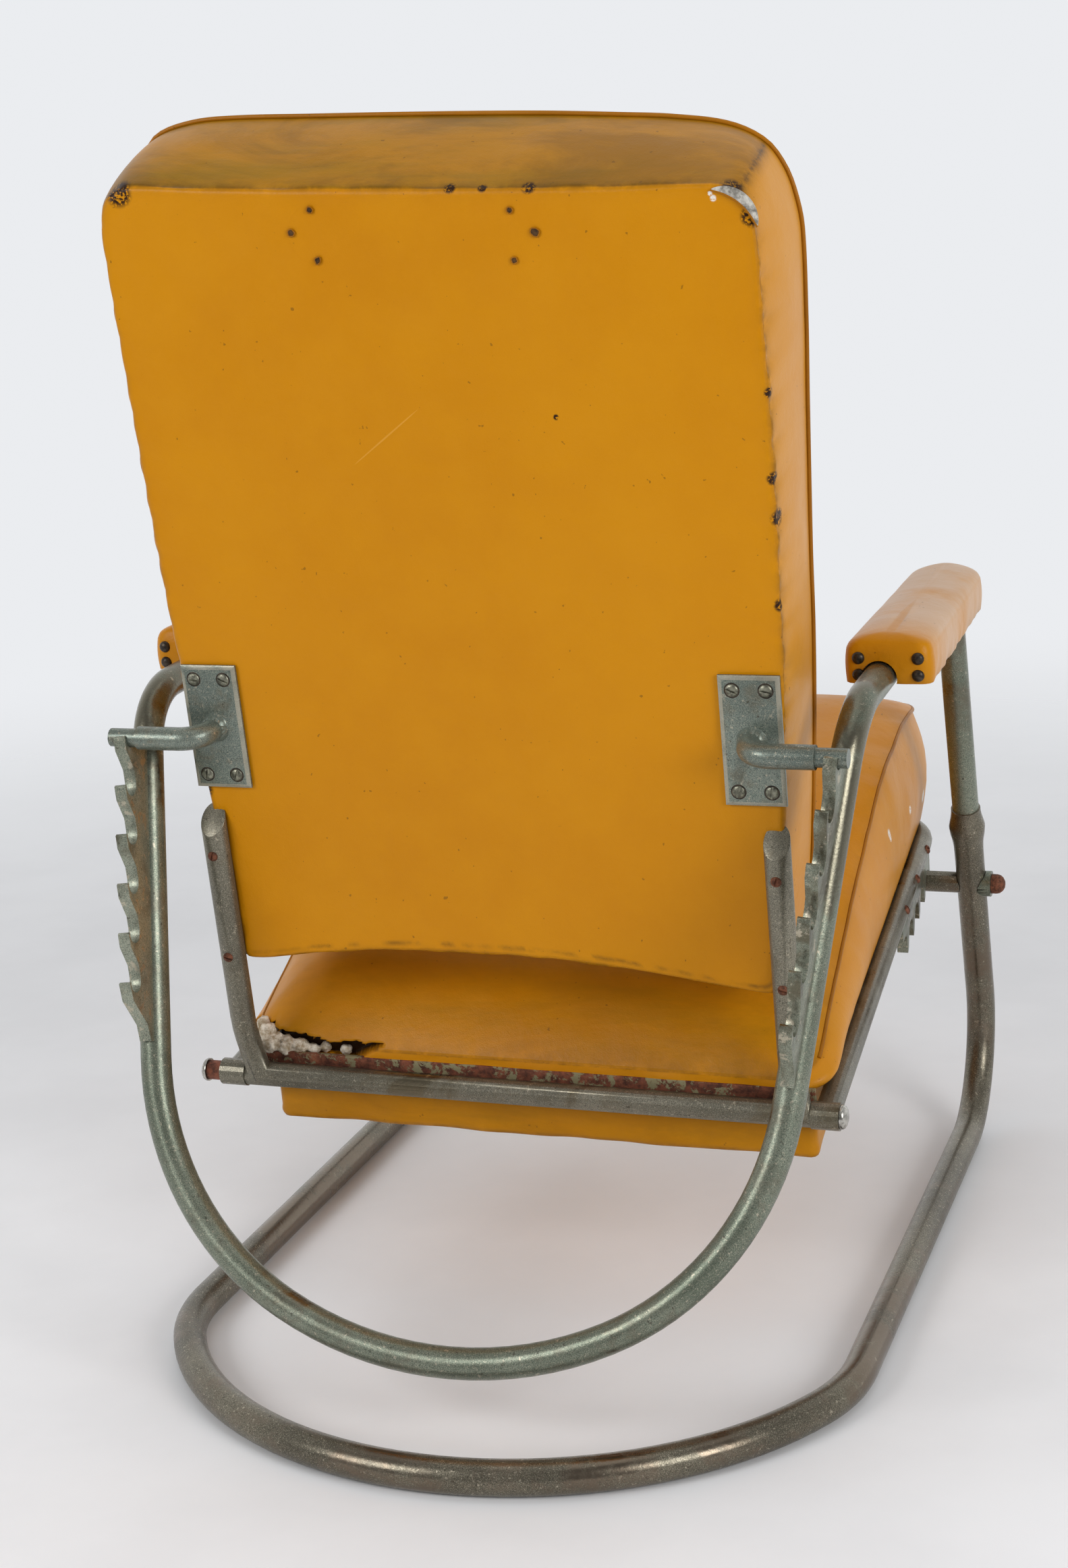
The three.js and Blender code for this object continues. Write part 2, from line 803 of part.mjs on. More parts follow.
/**
 * A stuffed cushion: its side swells between a foot outline and a welt, and its face is
 * crowned. footLevel, weltLevel and crown give heights at a point, bulge the swell at a
 * direction, and power how late the crown falls off toward the welt.
 */
function cushion({ foot, welt, footLevel, weltLevel, bulge, crown, power, bead }) {
  const directions = outwards(welt);
  const rings = [];
  const sideRing = (share, swell, lift) =>
    foot.map((p, i) => {
      const q = p.clone().lerp(welt[i], share).addScaledVector(directions[i], swell(i));
      const low = footLevel(p);
      return millimetres(q.x, q.y, low + (weltLevel(welt[i]) - low) * share + lift);
    });
  for (const share of sideRingShares)
    rings.push(
      sideRing(share, (i) => bulge(directions[i]) * Math.sin(Math.PI * share), 0),
    );
  rings.push(sideRing(1, () => 0, -2 * bead));
  rings.push(sideRing(1, () => bead, 0));
  const middle = welt
    .reduce((sum, p) => sum.add(p), new THREE.Vector2())
    .divideScalar(welt.length);
  const crownAt = (p, share) =>
    weltLevel(p) + bead + crown(p) * (1 - share ** power);
  for (let k = 0; k < crownRings; k++) {
    const share = Math.cos((Math.PI * (2 * k + 1)) / (2 * (2 * crownRings + 1)));
    rings.push(
      welt.map((p) => {
        const q = middle.clone().lerp(p, share);
        return millimetres(q.x, q.y, crownAt(q, share));
      }),
    );
  }
  const base = foot
    .reduce((sum, p) => sum.add(p), new THREE.Vector2())
    .divideScalar(foot.length);
  return skinned(
    millimetres(base.x, base.y, footLevel(base)),
    rings,
    millimetres(middle.x, middle.y, crownAt(middle, 0)),
  );
}

/** A closed surface through rings of as many points, from a bottom point to a top point. */
function skinned(bottom, rings, top) {
  const count = rings[0].length;
  const corners = [bottom, ...rings.flat(), top];
  const at = (ring, i) => 1 + ring * count + (i % count);
  const faces = [];
  for (let i = 0; i < count; i++) {
    faces.push([0, at(0, i + 1), at(0, i)]);
    for (let r = 0; r + 1 < rings.length; r++)
      faces.push(
        [at(r, i), at(r, i + 1), at(r + 1, i + 1)],
        [at(r, i), at(r + 1, i + 1), at(r + 1, i)],
      );
    faces.push([
      at(rings.length - 1, i),
      at(rings.length - 1, i + 1),
      corners.length - 1,
    ]);
  }
  const geometry = new THREE.BufferGeometry()
    .setFromPoints(corners)
    .setIndex(faces.flat())
    .toNonIndexed();
  geometry.computeVertexNormals();
  return geometry;
}

// Back

/** Rounded outline of the back, seen from the front: x across, y up the back. */
function backOutline({ top, side, foot, bottom, corner, shoulder }) {
  const outline = roundedOutline([
    [-foot, bottom, boardFootCorner],
    [foot, bottom, boardFootCorner],
    [side, shoulder, boardShoulderRound],
    [side, top, corner],
    [-side, top, corner],
    [-side, shoulder, boardShoulderRound],
  ]);
  const low = (p) => Math.max(0, 1 - (p.y - bottom) / boardFootCorner);
  return outline.map((p) => {
    const rise = boardArch * low(p) * (1 - (p.x / foot) ** 2);
    return new THREE.Vector2(p.x, p.y + Math.max(0, rise));
  });
}

const boardOutline = backOutline({
  top: boardTop,
  side: boardHalfWidth,
  foot: boardFootHalfWidth,
  bottom: boardBottom,
  corner: boardTopCorner,
  shoulder: boardShoulder,
});

/** The back's own axes seen from the front: across, up, and toward the sitter. */
const onBack = (geometry, setback) =>
  placed(geometry, millimetres(0, setback, 0), lateral, millimetres(0, 0, 1));

const yokeTop = pinHeight - bracketHeight / 2 - yokeBracketGap;

/** One arm of the yoke, from the hinge up behind the board. */
const yokeArmLine = (side) => {
  const across = side * (crossHalfLength - frameTubeRadius);
  return new BentLine(
    [
      millimetres(across, 0, 0),
      millimetres(across, yokeSetback, yokeElbow),
      millimetres(across, yokeSetback, yokeTop + frameTube),
    ],
    [yokeBendRadius],
  );
};

/** What trims the arms' upper ends on a slant, or the rabbets for them, with some room. */
function slantCut(room) {
  const size = 3 * frameTube;
  return new THREE.BoxGeometry(2 * crossHalfLength + size, size, size)
    .translate(0, 0, size / 2 + room)
    .rotateX(-yokeCutTilt)
    .translate(0, yokeSetback, yokeTop);
}

/** Arms and cross tube, welded and bored for the hinge rod. */
function backYoke() {
  const end = crossHalfLength;
  const cross = bar(
    millimetres(-end, 0, 0),
    millimetres(end, 0, 0),
    frameTube,
    tubeSides,
  );
  const bore = bar(
    millimetres(-end - overrun, 0, 0),
    millimetres(end + overrun, 0, 0),
    boreFor(hingeRod),
  );
  const arms = [1, -1].map((side) => tube(yokeArmLine(side), frameTube));
  return cut(join(cross, ...arms), bore, slantCut(0));
}

/** The plywood back, rabbeted for the yoke's arms. */
function backBoard() {
  const board = onBack(
    new THREE.ExtrudeGeometry(new THREE.Shape(boardOutline), {
      depth: boardThickness,
      bevelEnabled: false,
    }),
    boardRear,
  );
  const rabbets = [1, -1].map((side) =>
    cut(
      tube(yokeArmLine(side), boreFor(frameTube, touchGap, tubeSides)),
      slantCut(touchGap),
    ),
  );
  return cut(board, ...rabbets);
}

/** The stuffed front of the back. */
function backCushion() {
  const front = backOutline({
    top: boardTop + cushionTopFlare,
    side: boardHalfWidth + cushionSideFlare,
    foot: boardFootHalfWidth + cushionSideFlare,
    bottom: boardBottom - cushionFootFlare,
    corner: cushionCorner,
    shoulder: cushionShoulder,
  });
  return onBack(
    cushion({
      foot: boardOutline,
      welt: front,
      footLevel: () => 0,
      weltLevel: () => cushionDepth,
      bulge: () => backBulge,
      crown: () => backCrown,
      power: backCrownPower,
      bead: weltBead,
    }),
    boardRear - boardThickness - touchGap,
  );
}

/** A plate on the board's rear whose cranked bar ends in the pin that hangs in a rack. */
function pinBracket(side) {
  const plate = bevelledPlate(
    bracketWidth,
    bracketHeight,
    bracketThickness,
    bracketBevel,
  )
    .rotateX(-Math.PI / 2)
    .translate(side * bracketHalfSpan, boardRear + touchGap, pinHeight);
  const face = boardRear + touchGap + bracketThickness;
  const root = millimetres(side * bracketHalfSpan, face, pinHeight);
  const rack = railAcross(backHookTop);
  const inner = rack - rackThickness / 2 - pinNeck;
  const outer = rack + rackThickness / 2 + pinOverhang;
  const neck = millimetres(side * inner, pinSetback, pinHeight);
  const line = new BentLine(
    [
      millimetres(root.x, boardRear + bracketThickness / 2, pinHeight),
      millimetres(root.x, pinSetback, pinHeight),
      neck,
    ],
    [pinBendRadius],
  );
  const journal = bar(
    neck.clone().addScaledVector(lateral, -side * pinBar),
    millimetres(side * outer, pinSetback, pinHeight),
    pinJournal,
  );
  const boss = turned(
    [
      [0, -bracketThickness / 2],
      [pinBoss / 2, -bracketThickness / 2],
      [pinBoss / 2, 0],
      [
        lerp(pinBar, pinBoss, bossWaistShares.radius) / 2,
        pinBossHeight * bossWaistShares.height,
      ],
      [pinBar / 2, pinBossHeight],
      [0, pinBossHeight],
    ],
    root,
    millimetres(0, 1, 0),
  );
  return join(plate, boss, tube(line, pinBar), journal);
}

/** A flat plate with bevelled upper edges, lying on z = 0. */
function bevelledPlate(width, height, thickness, bevel) {
  const ring = (inset, level) => {
    const [x, y] = [width / 2 - inset, height / 2 - inset];
    return [
      millimetres(-x, -y, level),
      millimetres(x, -y, level),
      millimetres(x, y, level),
      millimetres(-x, y, level),
    ];
  };
  const rings = [ring(0, 0), ring(0, thickness - bevel), ring(bevel, thickness)];
  return skinned(millimetres(0, 0, 0), rings, millimetres(0, 0, thickness));
}

/** The rod through yoke and knuckles, with a turned-down spigot at each end. */
function hingeRodBar() {
  const r = hingeRod / 2;
  const length = 2 * knuckleOuter + rodDrift;
  const spigot = rodSpigot / 2;
  const profile = [
    [0, -rodSpigotLength],
    [spigot, -rodSpigotLength],
    [spigot, 0],
    [r, 0],
    [r, length],
    [spigot, length],
    [spigot, length + rodSpigotLength],
    [0, length + rodSpigotLength],
  ];
  return turned(profile, millimetres(-knuckleOuter, 0, 0), lateral);
}

/** The domed cap pushed on one end of the hinge rod. */
function rodCap(side) {
  const r = rodCapDiameter / 2;
  const bore = boreFor(rodSpigot) / 2;
  const bite = rodSpigotLength + touchGap;
  const profile = [
    [0, bite],
    [bore, bite],
    [bore, 0],
    [r, 0],
    [r, rodCapHeight * capRimShare],
    ...domeRings(r, rodCapHeight * capRimShare, rodCapHeight),
  ];
  const end = side > 0 ? knuckleOuter + rodDrift : -knuckleOuter;
  return turned(
    profile,
    millimetres(end + side * touchGap, 0, 0),
    lateral.clone().multiplyScalar(side),
  );
}

// Seat

/** Half span of the seat's side tubes at a reach forward of the hinge. */
const seatHalfSpan = (reach) =>
  knuckleMiddle + ((seatFrontHalfSpan - knuckleMiddle) * reach) / seatReach;
const seatTaper = Math.atan((knuckleMiddle - seatFrontHalfSpan) / seatReach);

const seatLine = new BentLine(
  bothSides([
    millimetres(seatFrontHalfSpan, -seatReach, 0),
    millimetres(knuckleMiddle, 0, 0),
  ]),
  [seatBendRadius, seatBendRadius],
);

/** The U of tube with a hinge knuckle on each end. */
function seatFrame() {
  const knuckles = [1, -1].map((side) =>
    bar(
      millimetres(side * knuckleInner, 0, 0),
      millimetres(side * knuckleOuter, 0, 0),
      knuckleDiameter,
    ),
  );
  const reach = millimetres(knuckleOuter + overrun, 0, 0);
  const bore = bar(mirrored(reach), reach, boreFor(hingeRod));
  return cut(join(tube(seatLine, frameTube), ...knuckles), bore);
}

/** The rod's place in the seat's own axes. */
const rodInSeat = seat.worldToLocal(frontRodPlace.clone());

/** The rack under one side tube, its foremost gullet on the rod. */
function seatRack(side) {
  const radius = frontRod / 2 + touchGap + slantRoom(seatTaper);
  const plate = hookedPlate({
    count: seatHooks,
    pitch: seatHookPitch / Math.cos(seatTaper),
    radius,
    reach: seatHookReach,
    tip: seatHookReach + seatFingerRise,
    lag: radius,
    tail: seatRackTail,
    tailReach: seatRackTailReach,
    cap: seatRackCap,
  });
  const along = millimetres(
    side * Math.sin(seatTaper),
    Math.cos(seatTaper),
    0,
  );
  const root = millimetres(side * seatHalfSpan(-rodInSeat.y), rodInSeat.y, 0);
  placed(plate, root, along, millimetres(0, 0, -1));
  return cut(plate, tube(seatLine, boreFor(frameTube, touchGap, tubeSides)));
}

const rearBarInner = knuckleDiameter / 2 + touchGap;

/** The flat bar across the rear of the seat, or the room it needs in what lies against it. */
function rearBarBlock(room) {
  const height = seatRearBarTop - seatRearBarBottom + 2 * room;
  const half = seatHalfSpan(rearBarInner) - frameTubeRadius - touchGap;
  const back = rearBarInner - (room ? seatRearBarThickness : 0);
  const front = rearBarInner + seatRearBarThickness + room;
  return new THREE.BoxGeometry(
    2 * (half + room),
    front - back,
    height,
  ).translate(
    0,
    -(back + front) / 2,
    (seatRearBarTop + seatRearBarBottom) / 2,
  );
}

const seatTopLevel = frameTubeRadius; // above the hinge line

/** The covered box between the side tubes, deeper at the rear. */
function seatBox() {
  const frontReach = seatReach - frameTubeRadius - seatBoxFrontGap;
  const front = seatHalfSpan(frontReach) - frameTubeRadius - seatBoxSideGap;
  const rear = seatHalfSpan(seatBoxRear) - seatBoxRearInset;
  const outline = roundedOutline([
    [-rear, seatBoxRear, seatBoxRearCorner],
    [rear, seatBoxRear, seatBoxRearCorner],
    [front, frontReach, seatBendRadius],
    [-front, frontReach, seatBendRadius],
  ]);
  const depth = (reach) =>
    seatBoxRearDepth +
    ((seatBoxFrontDepth - seatBoxRearDepth) * (reach - seatBoxRear)) /
      (frontReach - seatBoxRear);
  const ring = (level) => outline.map((p) => millimetres(p.x, p.y, level(p)));
  const middle = (seatBoxRear + frontReach) / 2;
  const box = skinned(
    millimetres(0, middle, seatTopLevel - depth(middle)),
    [ring((p) => seatTopLevel - depth(p.y)), ring(() => seatTopLevel)],
    millimetres(0, middle, seatTopLevel),
  );
  return cut(onSeat(box), rearBarBlock(touchGap));
}

/** Carries a seat plan (x across, y forward, z up) to the seat's own axes. */
function onSeat(geometry) {
  const forward = millimetres(0, -1, 0);
  return placed(geometry, millimetres(0, 0, 0), mirrored(lateral), forward);
}

/** The stuffed cushion on the seat, browed over the front. */
function seatCushion() {
  const outline = (rear, front, inset) => {
    const half = (reach) => seatHalfSpan(reach) - inset;
    return roundedOutline([
      [-half(rear), rear, seatCushionRearCorner],
      [half(rear), rear, seatCushionRearCorner],
      [half(front), front, seatCushionFrontCorner],
      [-half(front), front, seatCushionFrontCorner],
    ]);
  };
  const climb = (p) =>
    Math.min(1, (p.y - seatBoxRear) / (seatWeltBrowReach - seatBoxRear));
  const brow = (p) => {
    const past = (p.y - seatWeltBrowReach) / (seatCushionReach - seatWeltBrowReach);
    return past < 0
      ? lerp(seatWeltRear, seatWeltBrow, Math.sin((Math.PI / 2) * climb(p)))
      : lerp(seatWeltBrow, seatWeltFront, past ** 2);
  };
  const swell = (n) =>
    n.y > 0 ? lerp(seatBulge, seatNoseBulge, n.y ** 2) : seatBulge * (1 - n.y ** 2);
  const body = cushion({
    foot: outline(seatBoxRear, seatCushionFootReach, seatCushionInset),
    welt: outline(seatBoxRear, seatCushionReach, seatWeltInset),
    footLevel: () => seatTopLevel + touchGap,
    weltLevel: brow,
    bulge: swell,
    crown: (p) => lerp(seatRearCrown, seatCrown, climb(p)),
    power: seatCrownPower,
    bead: weltBead,
  });
  return cut(onSeat(body), rearBarBlock(touchGap));
}

// Assembly

const chair = new THREE.Group();
const hoop = tube(hoopLine, hoopTube);
const hoopRoom = tube(hoopLine, boreFor(hoopTube, touchGap, tubeSides));

chair.add(
  piece("base_frame", baseFrame(), wornSteel),
  piece("hoop_tube", hoop, hammeredGreen),
  piece("front_rod", frontRodBar(), rust),
);
back.add(
  piece("back_board", backBoard(), ochreVinyl),
  piece("back_cushion", backCushion(), ochreVinyl),
  piece("back_yoke", backYoke(), darkSteel),
  piece("hinge_rod", hingeRodBar(), rust),
);
seat.add(
  piece("seat_frame", seatFrame(), darkSteel),
  piece("seat_rear_bar", rearBarBlock(0), rust),
  piece("seat_box", seatBox(), ochreVinyl),
  piece("seat_cushion", seatCushion(), ochreVinyl),
);
for (const [hand, side] of [
  ["left", 1],
  ["right", -1],
]) {
  chair.add(
    piece(`back_rack_${hand}`, backRack(side, hoopRoom), hammeredGreen),
    piece(`arm_board_${hand}`, armBoard(side, hoopRoom), bareWood),
    piece(`arm_pad_${hand}`, armPad(side), ochreVinyl),
    piece(`rod_washer_${hand}`, rodWasher(side), rust),
    piece(`rod_nut_${hand}`, rodNut(side), rust),
  );
  back.add(
    piece(`pin_bracket_${hand}`, pinBracket(side), darkSteel),
    piece(`rod_cap_${hand}`, rodCap(side), rust),
  );
  seat.add(piece(`seat_rack_${hand}`, seatRack(side), darkSteel));
}
chair.add(back, seat);

// The chair stands on z = 0 with its bounding box centred over the origin.
chair.updateMatrixWorld(true);
const bounds = new THREE.Box3().setFromObject(chair, true);
const centre = bounds.getCenter(new THREE.Vector3());
chair.position.set(-centre.x, -centre.y, -bounds.min.z);

export default chair;
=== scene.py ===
"""A lawn armchair of bent steel tube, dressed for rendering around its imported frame.

The frame gives every rigid piece. This script welds and smooths the metal, makes the stuffed
vinyl back, seat, box cover and arm pads, adds seams, screws, nails, tears and stuffing, and
sets the floor, the light and the camera. Lengths are millimetres until a mesh is made.
"""

from __future__ import annotations

import json
import logging
import math
from contextlib import contextmanager
from dataclasses import dataclass, field
from enum import Enum
from typing import Callable, Iterable, Iterator, Sequence

import bpy
import numpy as np
from mathutils import Matrix, Vector, noise

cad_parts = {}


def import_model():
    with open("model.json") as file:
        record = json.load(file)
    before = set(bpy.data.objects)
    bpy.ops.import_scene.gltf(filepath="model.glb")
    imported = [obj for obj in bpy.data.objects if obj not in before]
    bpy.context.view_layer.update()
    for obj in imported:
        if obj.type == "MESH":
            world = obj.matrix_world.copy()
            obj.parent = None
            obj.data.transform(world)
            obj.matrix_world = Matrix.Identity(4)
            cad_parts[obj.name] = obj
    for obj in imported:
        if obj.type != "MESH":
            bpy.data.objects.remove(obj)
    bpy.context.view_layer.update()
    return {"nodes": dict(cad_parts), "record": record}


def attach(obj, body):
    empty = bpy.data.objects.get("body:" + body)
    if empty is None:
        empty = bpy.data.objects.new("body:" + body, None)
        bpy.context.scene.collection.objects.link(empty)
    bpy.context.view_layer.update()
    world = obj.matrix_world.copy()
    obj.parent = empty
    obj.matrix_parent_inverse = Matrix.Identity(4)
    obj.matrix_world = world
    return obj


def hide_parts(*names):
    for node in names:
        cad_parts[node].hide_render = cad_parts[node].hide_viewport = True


LOG = logging.getLogger("lawn_chair")
MM = 0.001
Color = tuple[float, float, float]
Point = tuple[float, float, float]
Outline = tuple[tuple[float, float], ...]
Spots = tuple[tuple[Sequence[float], float], ...]
Socket = bpy.types.NodeSocket
Piece = bpy.types.Object


class Body(Enum):
    """The bodies that a piece can ride on."""

    FRAME = "frame"
    BACK = "back"
    SEAT = "seat"


class Side(Enum):
    """The sitter's left (+X) and right (-X)."""

    LEFT = 1
    RIGHT = -1

    @property
    def hand(self) -> str:
        """The word for this side in a piece's name."""
        return self.name.lower()


def linear(code: str) -> Color:
    """Turn a hex colour as seen on screen into linear values.

    Args:
        code: Six hex digits.

    Returns:
        Red, green and blue from 0 to 1.
    """
    parts = [int(code[i : i + 2], 16) / 255 for i in (0, 2, 4)]
    return tuple(c / 12.92 if c <= 0.04045 else ((c + 0.055) / 1.055) ** 2.4 for c in parts)


def dimmed(color: Color, share: float) -> Color:
    """Scale a linear colour."""
    return tuple(c * share for c in color)


# Materials


class Graph:
    """A material's nodes, added one at a time around one Principled shader."""

    def __init__(self, name: str) -> None:
        """Start a material of that name.

        Args:
            name: The material's name.
        """
        self.material = bpy.data.materials.new(name)
        self.material.use_nodes = True
        self.tree = self.material.node_tree
        self.shader = next(n for n in self.tree.nodes if n.type == "BSDF_PRINCIPLED")
        self.place = self.node("ShaderNodeTexCoord").outputs["Object"]

    def node(self, kind: str, **values: object) -> bpy.types.Node:
        """Add a node and set its properties.

        Args:
            kind: Blender's name of the node.
            **values: Its properties.

        Returns:
            The node.
        """
        made = self.tree.nodes.new(kind)
        for key, value in values.items():
            setattr(made, key, value)
        return made

    def feed(self, socket: Socket, value: object) -> None:
        """Link a socket to an output, or set its value.

        Args:
            socket: The input.
            value: An output, a colour or a number.
        """
        if isinstance(value, Socket):
            self.tree.links.new(value, socket)
        elif isinstance(value, tuple) and len(value) == 3 and socket.type == "RGBA":
            socket.default_value = (*value, 1.0)
        else:
            socket.default_value = value

    def tune(self, node: bpy.types.Node, **values: object) -> None:
        """Feed a node's inputs by their names, with _ for a space."""
        for key, value in values.items():
            self.feed(node.inputs[key.replace("_", " ")], value)

    def noise(
        self,
        scale: float,
        detail: float = 4,
        roughness: float = 0.55,
        distortion: float = 0,
        stretch: Point | None = None,
    ) -> Socket:
        """Add a noise texture on object coordinates.

        Args:
            scale: Features per metre.
            detail: Octaves.
            roughness: Strength of the finer octaves.
            distortion: Warp of the pattern.
            stretch: Scale along each axis, if they differ.

        Returns:
            The noise value.
        """
        made = self.node("ShaderNodeTexNoise")
        place = self.place
        if stretch:
            mapping = self.node("ShaderNodeMapping")
            self.tune(mapping, Vector=place, Scale=stretch)
            place = mapping.outputs["Vector"]
        self.tune(made, Vector=place, Scale=scale, Detail=detail)
        self.tune(made, Roughness=roughness, Distortion=distortion)
        return made.outputs["Fac"]

    def cells(self, scale: float, smooth: float) -> Socket:
        """Add a smooth cellular texture and return its distance.

        Args:
            scale: Cells per metre.
            smooth: How far they melt together.

        Returns:
            The distance.
        """
        made = self.node("ShaderNodeTexVoronoi", feature="SMOOTH_F1")
        self.tune(made, Vector=self.place, Scale=scale, Smoothness=smooth)
        return made.outputs["Distance"]

    def attribute(self, name: str) -> Socket:
        """Read one of the mesh's own float attributes."""
        return self.node("ShaderNodeAttribute", attribute_name=name).outputs["Fac"]

    def band(self, value: Socket, low: float, high: float) -> Socket:
        """Stretch a value's range onto 0 to 1, with soft ends.

        Args:
            value: The value.
            low: What becomes 0.
            high: What becomes 1.

        Returns:
            The stretched value.
        """
        made = self.node("ShaderNodeMapRange", interpolation_type="SMOOTHSTEP")
        self.tune(made, Value=value, From_Min=low, From_Max=high)
        return made.outputs["Result"]

    def math(self, operation: str, *values: object) -> Socket:
        """Combine values by one operation.

        Args:
            operation: Blender's name of it.
            *values: Outputs or numbers.

        Returns:
            The result.
        """
        made = self.node("ShaderNodeMath", operation=operation)
        for socket, value in zip(made.inputs, values):
            self.feed(socket, value)
        return made.outputs[0]

    def times(self, first: object, second: object) -> Socket:
        """Multiply two values."""
        return self.math("MULTIPLY", first, second)

    def mix(self, share: object, first: object, second: object) -> Socket:
        """Mix two colours.

        Args:
            share: How much of the second, from 0 to 1.
            first: A colour or an output.
            second: A colour or an output.

        Returns:
            The mixed colour.
        """
        made = self.node("ShaderNodeMix", data_type="RGBA")
        for index, value in ((0, share), (6, first), (7, second)):
            self.feed(made.inputs[index], value)
        return made.outputs[2]

    def lay(self, under: object, over: object, mask: Socket, share: float = 1.0) -> Socket:
        """Lay a colour over another.

        Args:
            under: The colour below.
            over: The colour on top.
            mask: Where it shows, from 0 to 1.
            share: How much of it shows there.

        Returns:
            The mixed colour.
        """
        return self.mix(mask if share == 1 else self.times(mask, share), under, over)

    def away(self, point: Sequence[float]) -> Socket:
        """Measure the distance from a point in metres.

        Args:
            point: The point.

        Returns:
            The distance in metres.
        """
        made = self.node("ShaderNodeVectorMath", operation="DISTANCE")
        self.feed(made.inputs[0], self.place)
        made.inputs[1].default_value = tuple(point)
        return made.outputs["Value"]

    def near(self, point: Sequence[float], radius: float) -> Socket:
        """A mask that is 1 at a point in metres and falls to 0 at a radius."""
        return self.band(self.away(point), radius, radius * 0.55)

    def bump(
        self, height: object, strength: float, depth: float, base: Socket | None = None
    ) -> Socket:
        """Add a bump, on top of another if given.

        Args:
            height: The pattern.
            strength: Its strength, from 0 to 1.
            depth: Its depth in metres.
            base: The bump below it, if any.

        Returns:
            The normal.
        """
        made = self.node("ShaderNodeBump")
        self.tune(made, Height=height, Strength=strength, Distance=depth)
        if base is not None:
            self.tune(made, Normal=base)
        return made.outputs["Normal"]

    def finish(
        self,
        color: object,
        roughness: object,
        metallic: object = 0.0,
        normal: Socket | None = None,
        **sockets: float,
    ) -> bpy.types.Material:
        """Feed the shader and return the material.

        Args:
            color: Base colour.
            roughness: Roughness.
            metallic: Metallic share.
            normal: Output of the last bump.
            **sockets: Constant values of other sockets, with _ for a space.

        Returns:
            The finished material.
        """
        self.tune(self.shader, Base_Color=color, Roughness=roughness, Metallic=metallic, **sockets)
        if normal is not None:
            self.tune(self.shader, Normal=normal)
        return self.material


@dataclass(frozen=True)
class VinylFinish:
    """Old satin vinyl: a fine grain, uneven colour, dirt along seams, faded panels with painted
    light, grime with painted shade, and painted shade in a tear.
    """

    name: str
    base: Color = linear("CB8602")
    deep: Color = linear("C68001")
    light: Color = linear("D38F08")
    faded_and_lit: Color = linear("D09A50")
    olive: Color = linear("7F650F")
    shade_and_age: Color = linear("9A6C08")
    dirt: Color = linear("54380F")
    scraped: Color = linear("E2A94A")
    hollow: Color = linear("2E1A0B")
    chalk: Color = linear("E9E4DC")
    tear_shade: Color = linear("2B1A0D")
    marks: Spots = ()
    rings: Spots = ()
    pits: Spots = ()
    scratches: tuple[tuple[Sequence[float], Sequence[float]], ...] = ()
    crumple: float = 0.25
    roughness: float = 0.26
    specular: float = 0.17

    def mottled(self, g: Graph) -> Socket:
        """The vinyl's colour, with its fading and painted light, its grime and painted shade, and
        the dirt in its seams.

        Args:
            g: The material's nodes.

        Returns:
            The colour.
        """
        cloud = g.band(g.noise(3.2, 3, 0.5), 0.32, 0.68)
        patch = g.band(g.noise(17, 6, 0.62), 0.3, 0.75)
        color = g.lay(g.mix(cloud, self.deep, self.base), self.light, patch, 0.35)
        # Lighter faded colour where the tone attribute is set: fading, and painted light on the
        # sides of the back and seat.
        tone = g.times(g.attribute("tone"), g.band(g.noise(9, 5, 0.6), 0.2, 0.5))
        color = g.lay(color, self.faded_and_lit, tone)
        # Painted shade and age: where the grime attribute is set, the darker aged colour is laid
        # evenly, then grime streaks and smears on top.
        shade_and_age = g.attribute("grime")
        color = g.lay(color, self.shade_and_age, shade_and_age, 0.62)
        streak = g.band(g.noise(10, 8, 0.72, 0.2, (0.22, 1.3, 1)), 0.45, 0.68)
        color = g.lay(color, self.olive, g.times(shade_and_age, streak), 0.72)
        smear = g.band(g.noise(11, 7, 0.7, 0.6, (0.5, 1, 1)), 0.4, 0.62)
        color = g.lay(color, self.dirt, g.times(shade_and_age, smear), 0.45)
        ragged = g.band(g.noise(60, 6, 0.7), 0.3, 0.62)
        color = g.lay(color, self.dirt, g.times(g.attribute("seam"), ragged))
        return g.lay(color, self.dirt, g.band(g.noise(210, 2, 0.4), 0.745, 0.775), 0.5)

    def build(self) -> bpy.types.Material:
        """Make the material.

        Returns:
            A material that reads the attributes for seam dirt, fading with painted light, grime
            with painted shade, and the tear's painted shade.
        """
        g = Graph(self.name)
        color = self.mottled(g)
        for point, radius in self.rings:
            away = g.math("ABSOLUTE", g.math("SUBTRACT", g.away(point), radius))
            color = g.lay(color, self.deep, g.band(away, 0.0012, 0.0002), 0.35)
        for start, end in self.scratches:
            both = g.math("ADD", g.away(start), g.away(end))
            length = (Vector(start) - Vector(end)).length
            line = g.band(g.math("SUBTRACT", both, length), 2e-5, 2e-6)
            color = g.lay(color, self.scraped, line, 0.4)
        for spots, scale, low, ink in (
            (self.pits, 420, 0.38, self.hollow),
            (self.marks, 700, 0.35, self.chalk),
        ):
            for point, radius in spots:
                ragged = g.band(g.noise(scale, 3), low, 0.5)
                color = g.lay(color, ink, g.times(g.near(point, radius), ragged))
        # Painted shade: the sunken inside of the seat's tear is laid dark.
        color = g.lay(color, self.tear_shade, g.attribute("torn"))
        normal = g.bump(g.noise(26, 5, 0.55, 0.3), self.crumple, 0.004)
        normal = g.bump(g.cells(900, 0.35), 0.12, 0.0006, normal)
        normal = g.bump(g.noise(1500, 3, 0.6), 0.1, 0.0004, normal)
        rough = g.math("MULTIPLY_ADD", g.noise(40, 5, 0.6), 0.2, self.roughness)
        return g.finish(color, rough, 0.0, normal, Specular_IOR_Level=self.specular)


